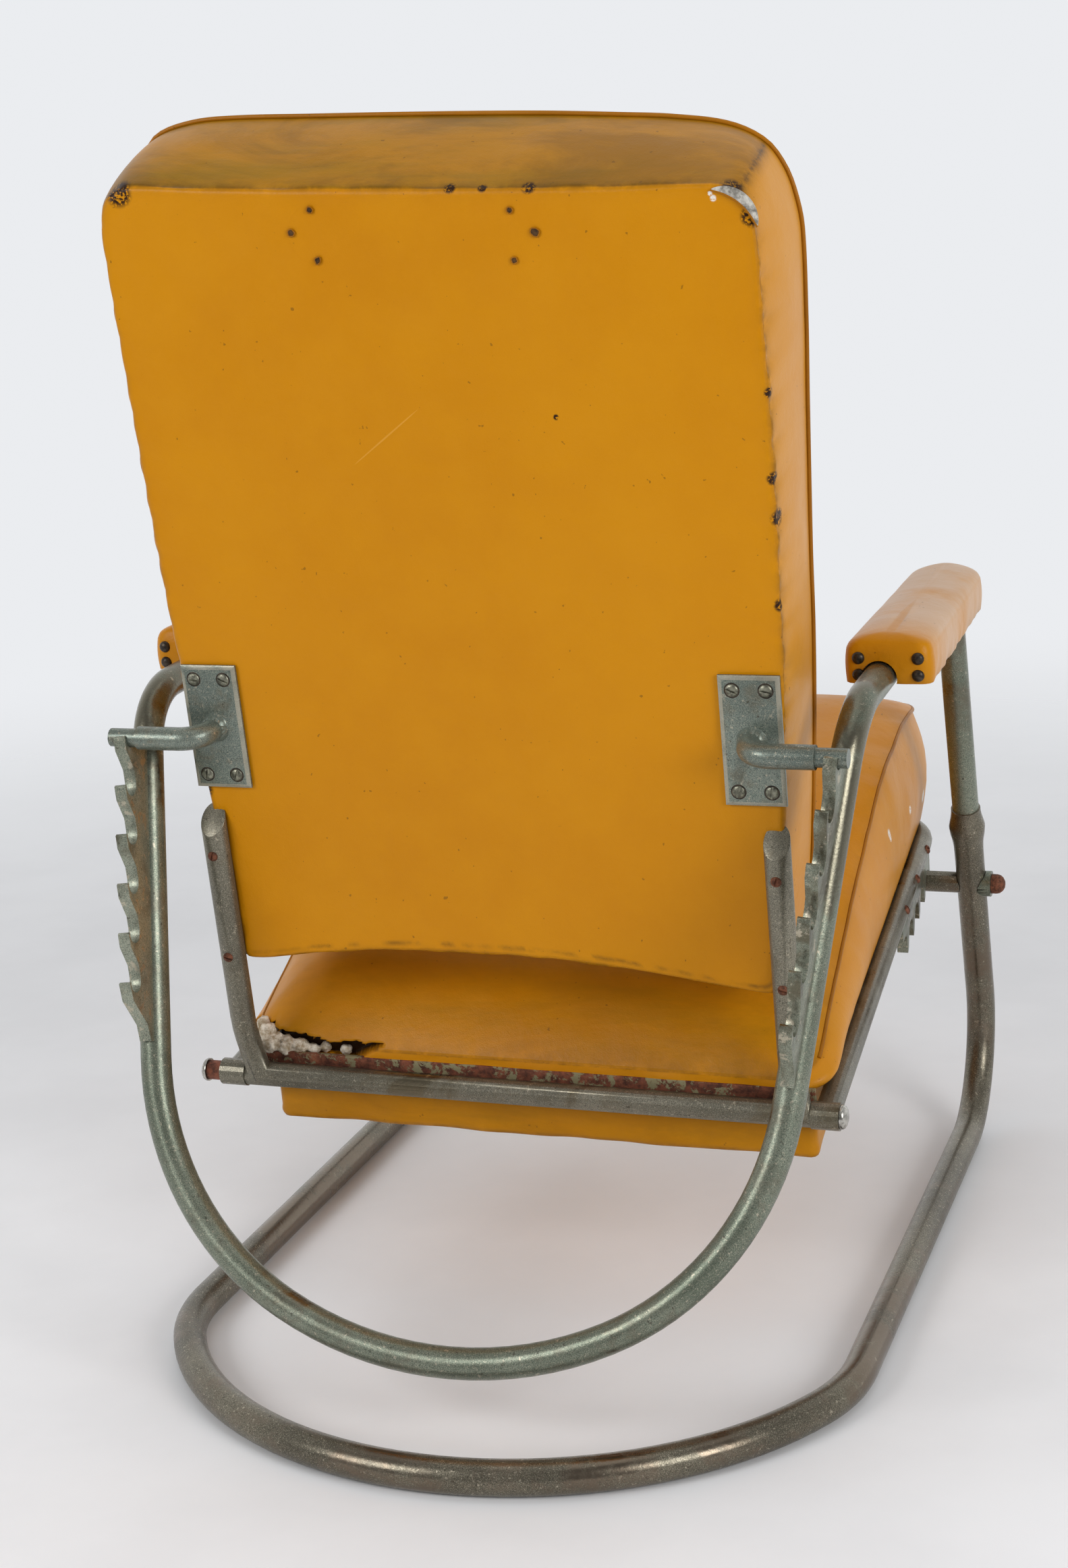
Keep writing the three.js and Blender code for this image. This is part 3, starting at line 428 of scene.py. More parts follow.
@dataclass(frozen=True)
class PaintFinish:
    """Hammered metallic paint on steel, rubbed through to brown and bright metal in places, with a
    painted highlight on a chamfer where given.
    """

    name: str
    paint: Color
    fleck: Color
    worn: Color = linear("6E6450")
    bright: Color = linear("B9B09C")
    wear: float = 0.6
    sheen: float = 0.6
    gloss: float = 0.34
    chips: float = 0.64
    rim: float = 0.0
    polished_above: float = 0.0

    def hammered(self, g: Graph) -> Socket:
        """The paint's colour: clouds, the fine hammered pattern, blots, flecks and pits.

        Args:
            g: The material's nodes.

        Returns:
            The colour.
        """
        fine = g.noise(1300, 2, 0.5)
        color = g.mix(g.band(g.noise(9, 5, 0.6), 0.3, 0.7), self.paint, self.fleck)
        for over, pattern, low, high, share in (
            (dimmed(self.paint, 0.55), fine, 0.42, 0.75, 1.0),
            (self.bright, fine, 0.44, 0.3, 0.5),
            (self.worn, g.noise(34, 8, 0.72, 0.3), 0.5, 0.66, 0.5),
            (self.bright, g.noise(330, 3, 0.6), 0.62, 0.7, 0.7),
            (dimmed(self.worn, 0.4), g.noise(190, 4, 0.65), 0.36, 0.31, 0.75),
        ):
            color = g.lay(color, over, g.band(pattern, low, high), share)
        return color

    def build(self) -> bpy.types.Material:
        """Make the material.

        Returns:
            A half metallic material.
        """
        g = Graph(self.name)
        rub = g.noise(6, 9, 0.7, 0.5)
        if self.polished_above:
            split = g.node("ShaderNodeSeparateXYZ")
            g.feed(split.inputs[0], g.place)
            level = self.polished_above
            high = g.band(split.outputs["Z"], level - 0.1, level + 0.12)
            rub = g.math("ADD", rub, g.times(high, 0.13))
        rubbed = g.band(rub, self.wear - 0.05, self.wear + 0.06)
        chip = g.band(g.noise(60, 9, 0.75, 0.3), self.chips, self.chips + 0.035)
        color = g.lay(self.hammered(g), self.worn, rubbed, 0.85)
        color = g.lay(color, self.bright, chip, 0.8)
        # Painted highlight: the chamfer faces, broken up by noise, are laid with the bright
        # colour.
        if self.rim:
            edge = g.times(g.attribute("rim"), g.band(g.noise(45, 5), 0.2, 0.55))
            color = g.lay(color, self.bright, edge, self.rim)
        metal = g.math("MULTIPLY_ADD", g.math("MAXIMUM", rubbed, chip), 0.3, self.sheen)
        rough = g.math("MULTIPLY_ADD", g.noise(90, 6, 0.6), 0.22, self.gloss - 0.1)
        rough = g.math("SUBTRACT", rough, g.times(rubbed, 0.09))
        normal = g.bump(rub, 0.06, 0.002, g.bump(g.noise(420, 3, 0.5), 0.16, 0.0007))
        return g.finish(color, rough, metal, normal)


@dataclass(frozen=True)
class RustFinish:
    """Rusted steel, with what is left of its paint."""

    name: str
    low: Color = linear("4A2A1E")
    high: Color = linear("8C5038")
    fresh: Color = linear("A8694A")
    paint: Color = linear("6F7A68")
    left: float = 0.62

    def build(self) -> bpy.types.Material:
        """Make the material.

        Returns:
            A rough brown material.
        """
        g = Graph(self.name)
        crust = g.noise(120, 8, 0.75)
        color = g.mix(g.band(crust, 0.35, 0.65), self.low, self.high)
        color = g.lay(color, self.fresh, g.band(g.noise(33, 8, 0.7), 0.55, 0.72))
        flakes = g.band(g.noise(52, 9, 0.75, 0.5), self.left, self.left + 0.03)
        color = g.lay(color, self.paint, flakes)
        normal = g.bump(flakes, 0.4, 0.0004, g.bump(crust, 0.5, 0.0012))
        return g.finish(color, 0.72, 0.25, normal)


@dataclass(frozen=True)
class PlainFinish:
    """A small part's finish: two colours mottled, with a fine bump."""

    name: str
    low: Color
    high: Color
    scale: float
    roughness: float
    metallic: float
    depth: float

    def build(self) -> bpy.types.Material:
        """Make the material.

        Returns:
            A mottled material.
        """
        g = Graph(self.name)
        mottle = g.noise(self.scale, 6, 0.65)
        color = g.mix(g.band(mottle, 0.35, 0.65), self.low, self.high)
        return g.finish(color, self.roughness, self.metallic, g.bump(mottle, 0.5, self.depth))


@dataclass(frozen=True)
class WoodFinish:
    """Bare board with its grain along the arm."""

    name: str = "bare_board"
    dark: Color = linear("6E4F2C")
    pale: Color = linear("A07C4E")

    def build(self) -> bpy.types.Material:
        """Make the material.

        Returns:
            A dull wood material.
        """
        g = Graph(self.name)
        grain = g.noise(60, 6, 0.6, 1.2, (4, 0.25, 4))
        color = g.mix(g.band(grain, 0.3, 0.7), self.dark, self.pale)
        return g.finish(color, 0.8, 0.0, g.bump(grain, 0.3, 0.0006))


class Finishes:
    """Every finish of the chair, each made once."""

    hoop: bpy.types.Material
    base: bpy.types.Material
    yoke: bpy.types.Material
    rack: bpy.types.Material
    bracket: bpy.types.Material
    screw: bpy.types.Material
    rusty_screw: bpy.types.Material
    nail: bpy.types.Material
    chrome: bpy.types.Material
    stuffing: bpy.types.Material
    lining: bpy.types.Material
    shade: bpy.types.Material
    flecks = (
        (-250, 349, 84.5, 0.0065),
        (-250, 349.5, 80, 0.005),
        (-247, 444.5, 63.5, 0.005),
        (-244.5, 527.5, 40, 0.008),
    )
    pits = (
        (-250.5, 8, 527, 0.0065),
        (-251.5, 5, 497, 0.0085),
        (-250, 9, 431, 0.006),
        (-251, 8, 590, 0.005),
        (-236, 10, 738, 0.012),
        (-246, 8, 715, 0.009),
        (240, 9, 752, 0.013),
        (-85, 9, 743, 0.007),
        (-25, 9, 745, 0.006),
        (-50, 9, 744, 0.005),
        (-90, 10.9, 575, 0.003),
        (247, 7, 292, 0.009),
        (244, 8, 268, 0.010),
    )
    dots = ((-220.2, 10.9, 728.8, 0.003), (-218.2, 10.9, 732.1, 0.0022))
    scar = ((83.3, 10.9, 714.8, 0.022),)
    scratch = ((75.4, 10.5, 540.2), (18, 10.5, 582.7))

    @staticmethod
    def spots(place: Callable[..., Vector], rows: Sequence[Sequence[float]]) -> Spots:
        """Put marks in their place.

        Args:
            place: The axes that they are measured in.
            rows: Three coordinates in millimetres and a radius in metres, for each mark.

        Returns:
            A point in metres and a radius for each.
        """
        return tuple((place(*at), radius) for *at, radius in rows)

    def __init__(self, places: Places) -> None:
        """Make the materials.

        Args:
            places: The chair's axes, for marks that lie at a place.
        """
        back = places.back
        self.vinyl_back = VinylFinish(
            "vinyl_back",
            rings=self.spots(back, self.scar),
            pits=self.spots(back, self.pits),
            marks=self.spots(back, self.dots),
            scratches=(tuple(back(*end) for end in self.scratch),),
        ).build()
        self.vinyl_seat = VinylFinish(
            "vinyl_seat", base=linear("C67D03"), marks=self.spots(places.seat, self.flecks)
        ).build()
        self.vinyl_arm = VinylFinish(
            "vinyl_arm", base=linear("C07F16"), faded_and_lit=linear("C9A583"), crumple=0.4
        ).build()
        self.welt = VinylFinish(
            "vinyl_welt", base=linear("A96A0A"), deep=linear("8C5708"), light=linear("B87A1C")
        ).build()
        self.rust = RustFinish("rusted_steel", left=0.8).build()
        self.strip = RustFinish("rusted_strip", paint=linear("8F8765"), left=0.52).build()
        self.wood = WoodFinish().build()
        self.paints()
        self.small_parts()

    def paints(self) -> None:
        """Make the painted finishes of the metal."""
        for key, name, paint, fleck, values in (
            ("hoop", "hammered_green_paint", "687061", "8B9282",
             {"worn": linear("6E6859"), "wear": 0.58, "polished_above": 0.42}),
            ("base", "worn_brown_steel", "5B564A", "7C7666",
             {"worn": linear("75685A"), "wear": 0.54, "sheen": 0.7, "gloss": 0.31}),
            ("yoke", "hammered_grey_paint", "6E6A5C", "908B7B", {"wear": 0.57}),
            ("rack", "worn_rack_paint", "747A6B", "A0A594",
             {"worn": linear("5F5948"), "wear": 0.56, "gloss": 0.36, "chips": 0.56}),
            # The bracket's rim share is the strength of the painted highlight on its chamfer.
            ("bracket", "bracket_paint", "68726A", "858F84",
             {"wear": 0.64, "sheen": 0.5, "rim": 0.6}),
        ):
            made = PaintFinish(name, linear(paint), linear(fleck), **values)
            setattr(self, key, made.build())

    def small_parts(self) -> None:
        """Make the finishes of the fasteners, the stuffing, the lining and the holes."""
        for key, name, low, high, *values in (
            ("screw", "screw_steel", "5A594E", "9B9A88", 260, 0.38, 0.85, 0.0002),
            ("rusty_screw", "rusty_screw", "4E2F20", "86523A", 300, 0.7, 0.4, 0.0003),
            ("nail", "nail_brown", "2B2621", "4B4137", 300, 0.38, 0.7, 0.0002),
            ("chrome", "bright_cap", "8E8B84", "C9C6BE", 200, 0.25, 0.95, 0.0002),
            ("stuffing", "cotton_stuffing", "9A8668", "E6DCCB", 150, 1.0, 0.0, 0.003),
            ("lining", "grey_lining", "6E6A62", "CFCBC2", 140, 0.95, 0.0, 0.002),
            ("shade", "torn_hole", "2A1D10", "5A3E20", 220, 0.95, 0.0, 0.001),
        ):
            setattr(self, key, PlainFinish(name, linear(low), linear(high), *values).build())


# Meshes


class Places:
    """The chair's own axes, and the lines in them that several pieces share."""

    back_lean = 0.13393657
    seat_slope = 0.17211356
    seat_half_rear = 259.6
    seat_taper = 17.3 / 548
    plate_face = 14.9
    yoke_across = 237.3
    yoke_setback = 15.5

    def __init__(self, record: dict) -> None:
        """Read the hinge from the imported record.

        Args:
            record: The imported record.
        """
        joints = {j["name"]: j for j in record["behaviour"]["joints"]}
        self.hinge = Vector(joints["seat_hinge"]["pos_m"]) / MM

    def back(self, across: float, rearward: float, up: float) -> Vector:
        """A point of the back's axes, in metres.

        Args:
            across: To the sitter's left.
            rearward: Behind the hinge rod, square to the back.
            up: Up along the back.

        Returns:
            The point.
        """
        s, c = math.sin(self.back_lean), math.cos(self.back_lean)
        shift = Vector((across, up * s + rearward * c, up * c - rearward * s))
        return (self.hinge + shift) * MM

    def back_of(self, point: Vector) -> Vector:
        """Where a point in metres stands in the back's axes.

        Args:
            point: The point.

        Returns:
            Across, rearward and up.
        """
        s, c = math.sin(self.back_lean), math.cos(self.back_lean)
        away = point / MM - self.hinge
        return Vector((away.x, away.y * c - away.z * s, away.y * s + away.z * c))

    def back_way(self, across: float, rearward: float, up: float) -> Vector:
        """A unit direction of the back's axes."""
        return (self.back(across, rearward, up) - self.back(0, 0, 0)).normalized()

    def seat(self, across: float, reach: float, up: float) -> Vector:
        """A point of the seat's axes, in metres.

        Args:
            across: To the sitter's left.
            reach: Forward of the hinge rod, along the seat.
            up: Square to the seat.

        Returns:
            The point.
        """
        s, c = math.sin(self.seat_slope), math.cos(self.seat_slope)
        shift = Vector((across, up * s - reach * c, up * c + reach * s))
        return (self.hinge + shift) * MM

    def half_span(self, reach: float) -> float:
        """Half the distance between the seat's side tubes' centrelines at a reach."""
        return self.seat_half_rear - self.seat_taper * reach


def resample(points: Sequence[Sequence[float]], count: int) -> np.ndarray:
    """Run a closed smooth line through points and divide it evenly.

    Args:
        points: The line's points in order, without repeating the first.
        count: How many points to return.

    Returns:
        An array of count points.
    """
    p = np.array(points, float)
    steps = 16
    t = np.linspace(0, 1, steps, endpoint=False)[:, None]
    dense = []
    for i in range(len(p)):
        a, b, c, d = (p[(i + k) % len(p)] for k in (-1, 0, 1, 2))
        reach = np.linalg.norm(c - b)
        m = (c - a) / (np.linalg.norm(b - a) + reach) * reach
        n = (d - b) / (np.linalg.norm(d - c) + reach) * reach
        h = (2 * t**3 - 3 * t**2 + 1) * b + (t**3 - 2 * t**2 + t) * m
        dense.append(h + (3 * t**2 - 2 * t**3) * c + (t**3 - t**2) * n)
    line = np.vstack([*dense, p[:1]])
    run = np.r_[0, np.cumsum(np.linalg.norm(np.diff(line, axis=0), axis=1))]
    at = np.linspace(0, run[-1], count, endpoint=False)
    return np.stack([np.interp(at, run, line[:, k]) for k in range(p.shape[1])], 1)


def rounded(corners: Sequence[tuple[float, float, float]], steps: int = 8) -> np.ndarray:
    """Points of a closed outline whose corners are rounded.

    Args:
        corners: (x, y, radius) of each corner, anticlockwise.
        steps: Points on each round.

    Returns:
        The outline's points.
    """
    count = len(corners)
    made = []
    for i in range(count):
        here = Vector(corners[i][:2])
        before = (Vector(corners[i - 1][:2]) - here).normalized()
        after = (Vector(corners[(i + 1) % count][:2]) - here).normalized()
        half = before.angle(after) / 2
        radius = corners[i][2]
        centre = here + (before + after).normalized() * (radius / math.sin(half))
        start = here + before * (radius / math.tan(half)) - centre
        sweep = math.pi - 2 * half
        for k in range(steps + 1):
            a = sweep * k / steps
            c, s = math.cos(a), math.sin(a)
            made.append(centre + Vector((start.x * c - start.y * s, start.x * s + start.y * c)))
    return np.array(made)


def thinned(points: np.ndarray, longest: float = 60) -> np.ndarray:
    """Drop points that repeat, and add some on long straights.

    Args:
        points: A closed outline.
        longest: The widest gap that stays.

    Returns:
        The evened outline.
    """
    kept = []
    for a, b in zip(points, np.roll(points, -1, 0)):
        gap = np.linalg.norm(b - a)
        if gap < 0.5:
            continue
        parts = max(1, math.ceil(gap / longest))
        kept += [a + (b - a) * k / parts for k in range(parts)]
    return np.array(kept)


def outward(outline: np.ndarray) -> np.ndarray:
    """Unit directions out of an anticlockwise outline at its points.

    Args:
        outline: Points in order.

    Returns:
        One direction for each point.
    """
    run = np.roll(outline, -1, 0) - np.roll(outline, 1, 0)
    out = np.stack([run[:, 1], -run[:, 0]], 1)
    return out / np.linalg.norm(out, axis=1)[:, None]


def ripple(points: np.ndarray, scale: float, seed: float) -> np.ndarray:
    """Smooth noise from -1 to 1 at points in millimetres.

    Args:
        points: An array of points.
        scale: Length of a ripple.
        seed: Shifts the pattern.

    Returns:
        One value for each point.
    """
    return np.array([noise.noise(Vector(p) / scale + Vector((seed,) * 3)) for p in points])


def new_object(
    name: str, points: Iterable[Vector], faces: Sequence[Sequence[int]]
) -> Piece:
    """Make a smooth shaded mesh object at the origin.

    Args:
        name: The piece's name.
        points: Its vertices, in metres.
        faces: Its faces.

    Returns:
        The new object.
    """
    mesh = bpy.data.meshes.new(name)
    mesh.from_pydata([tuple(p) for p in points], [], faces)
    mesh.validate()
    mesh.shade_smooth()
    made = bpy.data.objects.new(name, mesh)
    bpy.context.scene.collection.objects.link(made)
    return made


def only(*objects: Piece) -> None:
    """Select these objects alone, the first of them active.

    Args:
        *objects: What is to be selected.
    """
    if bpy.context.object and bpy.context.object.mode != "OBJECT":
        bpy.ops.object.mode_set(mode="OBJECT")
    bpy.ops.object.select_all(action="DESELECT")
    for o in objects:
        o.select_set(True)
    bpy.context.view_layer.objects.active = objects[0]


def settle(piece: Piece) -> Piece:
    """Apply a piece's modifiers and place, so that it sits at the origin.

    Args:
        piece: The piece.

    Returns:
        The piece.
    """
    only(piece)
    for modifier in list(piece.modifiers):
        bpy.ops.object.modifier_apply(modifier=modifier.name)
    bpy.ops.object.transform_apply(location=True, rotation=True, scale=True)
    return piece


def add_modifier(piece: Piece, kind: str, **values: object) -> None:
    """Add a modifier to a piece and set its properties.

    Args:
        piece: The piece.
        kind: Blender's name of the modifier.
        **values: Its properties.
    """
    made = piece.modifiers.new(kind.title(), kind)
    for key, value in values.items():
        setattr(made, key, value)


@contextmanager
def editing(piece: Piece) -> Iterator[None]:
    """Edit a piece's mesh with all of it selected, and leave edit mode afterwards.

    Args:
        piece: The piece.
    """
    only(piece)
    bpy.ops.object.mode_set(mode="EDIT")
    bpy.ops.mesh.select_all(action="SELECT")
    yield
    bpy.ops.object.mode_set(mode="OBJECT")


def copied(name: str, source: Piece) -> Piece:
    """Copy an object's mesh into a new object at the origin.

    Args:
        name: The new object's name.
        source: What is copied.

    Returns:
        The new object.
    """
    made = bpy.data.objects.new(name, source.data.copy())
    bpy.context.scene.collection.objects.link(made)
    return made


def smoothed(piece: Piece, crease: float) -> Piece:
    """Shade a piece smooth, except over its sharp edges.

    Args:
        piece: The piece.
        crease: The sharpest edge that is smoothed, in degrees.

    Returns:
        The piece.
    """
    only(piece)
    bpy.ops.object.shade_smooth_by_angle(angle=math.radians(crease))
    return settle(piece)


def eased(piece: Piece, width: float, sharp: float = 40) -> Piece:
    """Bevel a piece's sharp edges.

    Args:
        piece: The piece.
        width: Width of the bevel.
        sharp: The sharpest edge that is left, in degrees.

    Returns:
        The piece.
    """
    limit = math.radians(sharp)
    add_modifier(
        piece, "BEVEL", width=width * MM, segments=2, limit_method="ANGLE", angle_limit=limit
    )
    return settle(piece)


def carve(piece: Piece, tool: Piece) -> None:
    """Cut a tool out of a piece, and remove the tool.

    Args:
        piece: What is cut.
        tool: What is cut away.
    """
    add_modifier(piece, "BOOLEAN", operation="DIFFERENCE", object=tool, solver="EXACT")
    settle(piece)
    bpy.data.objects.remove(tool)


def dress(
    piece: Piece,
    material: bpy.types.Material,
    body: Body,
    slot: str,
    replaces: Sequence[str] = (),
) -> Piece:
    """Give a piece its material and body, and report it.

    Args:
        piece: The finished object.
        material: Its material.
        body: What it rides on.
        slot: The record's material slot; not used.
        replaces: The nodes that it stands for.

    Returns:
        The piece.
    """
    piece.data.materials.clear()
    piece.data.materials.append(material)
    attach(piece, body.value)
    if replaces:
        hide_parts(*replaces)
    LOG.info("%s: %d faces", piece.name, len(piece.data.polygons))
    return piece


def joined(name: str, parts: Sequence[Piece]) -> Piece:
    """Join objects into one piece of that name.

    Args:
        name: The piece's name.
        parts: The objects.

    Returns:
        The piece.
    """
    only(*parts)
    bpy.ops.object.join()
    made = bpy.context.object
    made.name = made.data.name = name
    return made


def cord_along(
    name: str, points: Sequence[Vector], radius: float, closed: bool = True
) -> Piece:
    """Make a thin round cord along points, as a mesh.

    Args:
        name: The piece's name.
        points: Points in metres.
        radius: The cord's radius in metres.
        closed: Whether its ends meet.

    Returns:
        The mesh object.
    """
    curve = bpy.data.curves.new(name, "CURVE")
    curve.dimensions = "3D"
    curve.bevel_depth = radius
    curve.bevel_resolution = 2
    curve.use_fill_caps = True
    line = curve.splines.new("POLY")
    line.points.add(len(points) - 1)
    for at, p in zip(line.points, points):
        at.co = (*p, 1)
    line.use_cyclic_u = closed
    line.use_smooth = True
    made = bpy.data.objects.new(name, curve)
    bpy.context.scene.collection.objects.link(made)
    only(made)
    bpy.ops.object.convert(target="MESH")
    return bpy.context.object


@dataclass
class Loft:
    """A closed surface through rings, with a value of each attribute at each ring point."""

    place: Callable[[float, float, float], Vector]
    rings: list[np.ndarray] = field(default_factory=list)
    marks: dict[str, list[np.ndarray]] = field(default_factory=dict)

    def add(self, ring: np.ndarray, **marks: object) -> None:
        """Add a ring of points, and what its attributes are there.

        Args:
            ring: The points.
            **marks: One value for each attribute, or one for each point.
        """
        self.rings.append(ring)
        for key in ("seam", "tone", "grime", "torn"):
            value = marks.get(key, 0.0)
            self.marks.setdefault(key, []).append(
                np.broadcast_to(np.asarray(value, float), (len(ring),)).copy()
            )

    def build(self, name: str) -> Piece:
        """Make the mesh, closed at both ends, facing outward.

        Args:
            name: The piece's name.

        Returns:
            The mesh object.
        """
        count = len(self.rings[0])
        first, last = self.rings[0].mean(0), self.rings[-1].mean(0)
        points = np.vstack([first[None], *self.rings, last[None]])
        rings = len(self.rings)
        faces: list[tuple[int, ...]] = []
        for i in range(count):
            j = (i + 1) % count
            faces.append((0, 1 + j, 1 + i))
            for r in range(rings - 1):
                a, b = 1 + r * count, 1 + (r + 1) * count
                faces.append((a + i, a + j, b + j, b + i))
            a = 1 + (rings - 1) * count
            faces.append((a + i, a + j, len(points) - 1))
        piece = new_object(name, (self.place(*p) for p in points), faces)
        for key, values in self.marks.items():
            made = piece.data.attributes.new(key, "FLOAT", "POINT")
            ends = [values[0].mean(), values[-1].mean()]
            made.data.foreach_set(
                "value", np.r_[ends[0], np.concatenate(values), ends[1]].astype(np.float32)
            )
        with editing(piece):
            bpy.ops.mesh.normals_make_consistent(inside=False)
        return piece


# Metal


@dataclass
class BentTube:
    """A round tube bent through corners, swept from one circle."""

    corners: tuple[Point, ...]
    bends: tuple[float, ...]
    radius: float
    flare: Outline = ()
    sides: int = 40
    step: float = 3.2
    crease: float = 32

    def grow(self, here: Vector, there: Vector) -> None:
        """Extrude the selected ring from one point to another."""
        bpy.ops.mesh.extrude_region_move(TRANSFORM_OT_translate={"value": there - here})

    def swell(self, centre: Vector, ratio: float) -> None:
        """Resize the selected ring about its centre."""
        bpy.ops.transform.resize(value=(ratio,) * 3, center_override=centre)

    def flared(self, end: Vector, heading: Vector) -> None:
        """Extrude the flared sleeve at the tube's end.

        Args:
            end: The end of the plain tube.
            heading: The way it runs.
        """
        here, wide = end, self.radius
        for along, radius in self.flare:
            there = end + heading * along * MM
            self.grow(here, there)
            self.swell(there, radius / wide)
            here, wide = there, radius

    def bent(
        self, here: Vector, corner: Vector, ways: tuple[Vector, Vector], bend: float
    ) -> Vector:
        """Extrude the selected ring up to a corner and spin it round.

        Args:
            here: Where the ring is.
            corner: Where the two straights would meet.
            ways: The way the tube runs before it and after it.
            bend: Radius of the bend, in metres.

        Returns:
            Where the ring is now.
        """
        arriving, leaving = ways
        turn = arriving.angle(leaving)
        run = bend * math.tan(turn / 2)
        start = corner - arriving * run
        self.grow(here, start)
        inward = (leaving - arriving * math.cos(turn)).normalized()
        bpy.ops.mesh.spin(
            steps=max(4, math.ceil(turn / math.radians(self.step))),
            angle=-turn,
            center=start + inward * bend,
            axis=arriving.cross(leaving).normalized(),
        )
        return corner + leaving * run

    def build(self, name: str) -> Piece:
        """Sweep the tube.

        Args:
            name: The piece's name.

        Returns:
            The closed tube.
        """
        points = [Vector(c) * MM for c in self.corners]
        ways = [(b - a).normalized() for a, b in zip(points, points[1:])]
        bpy.ops.object.select_all(action="DESELECT")
        bpy.ops.mesh.primitive_circle_add(
            vertices=self.sides,
            radius=self.radius * MM,
            fill_type="NGON",
            location=points[0],
            rotation=ways[0].to_track_quat("Z", "Y").to_euler(),
        )
        tube = bpy.context.object
        tube.name = tube.data.name = name
        with editing(tube):
            here = points[0]
            for corner, pair, bend in zip(points[1:], zip(ways, ways[1:]), self.bends):
                here = self.bent(here, corner, pair, bend * MM)
            self.grow(here, points[-1])
            if self.flare:
                self.flared(points[-1], ways[-1])
            bpy.ops.mesh.select_all(action="SELECT")
            bpy.ops.mesh.remove_doubles(threshold=1e-6)
            bpy.ops.mesh.normals_make_consistent(inside=False)
        return smoothed(tube, self.crease)


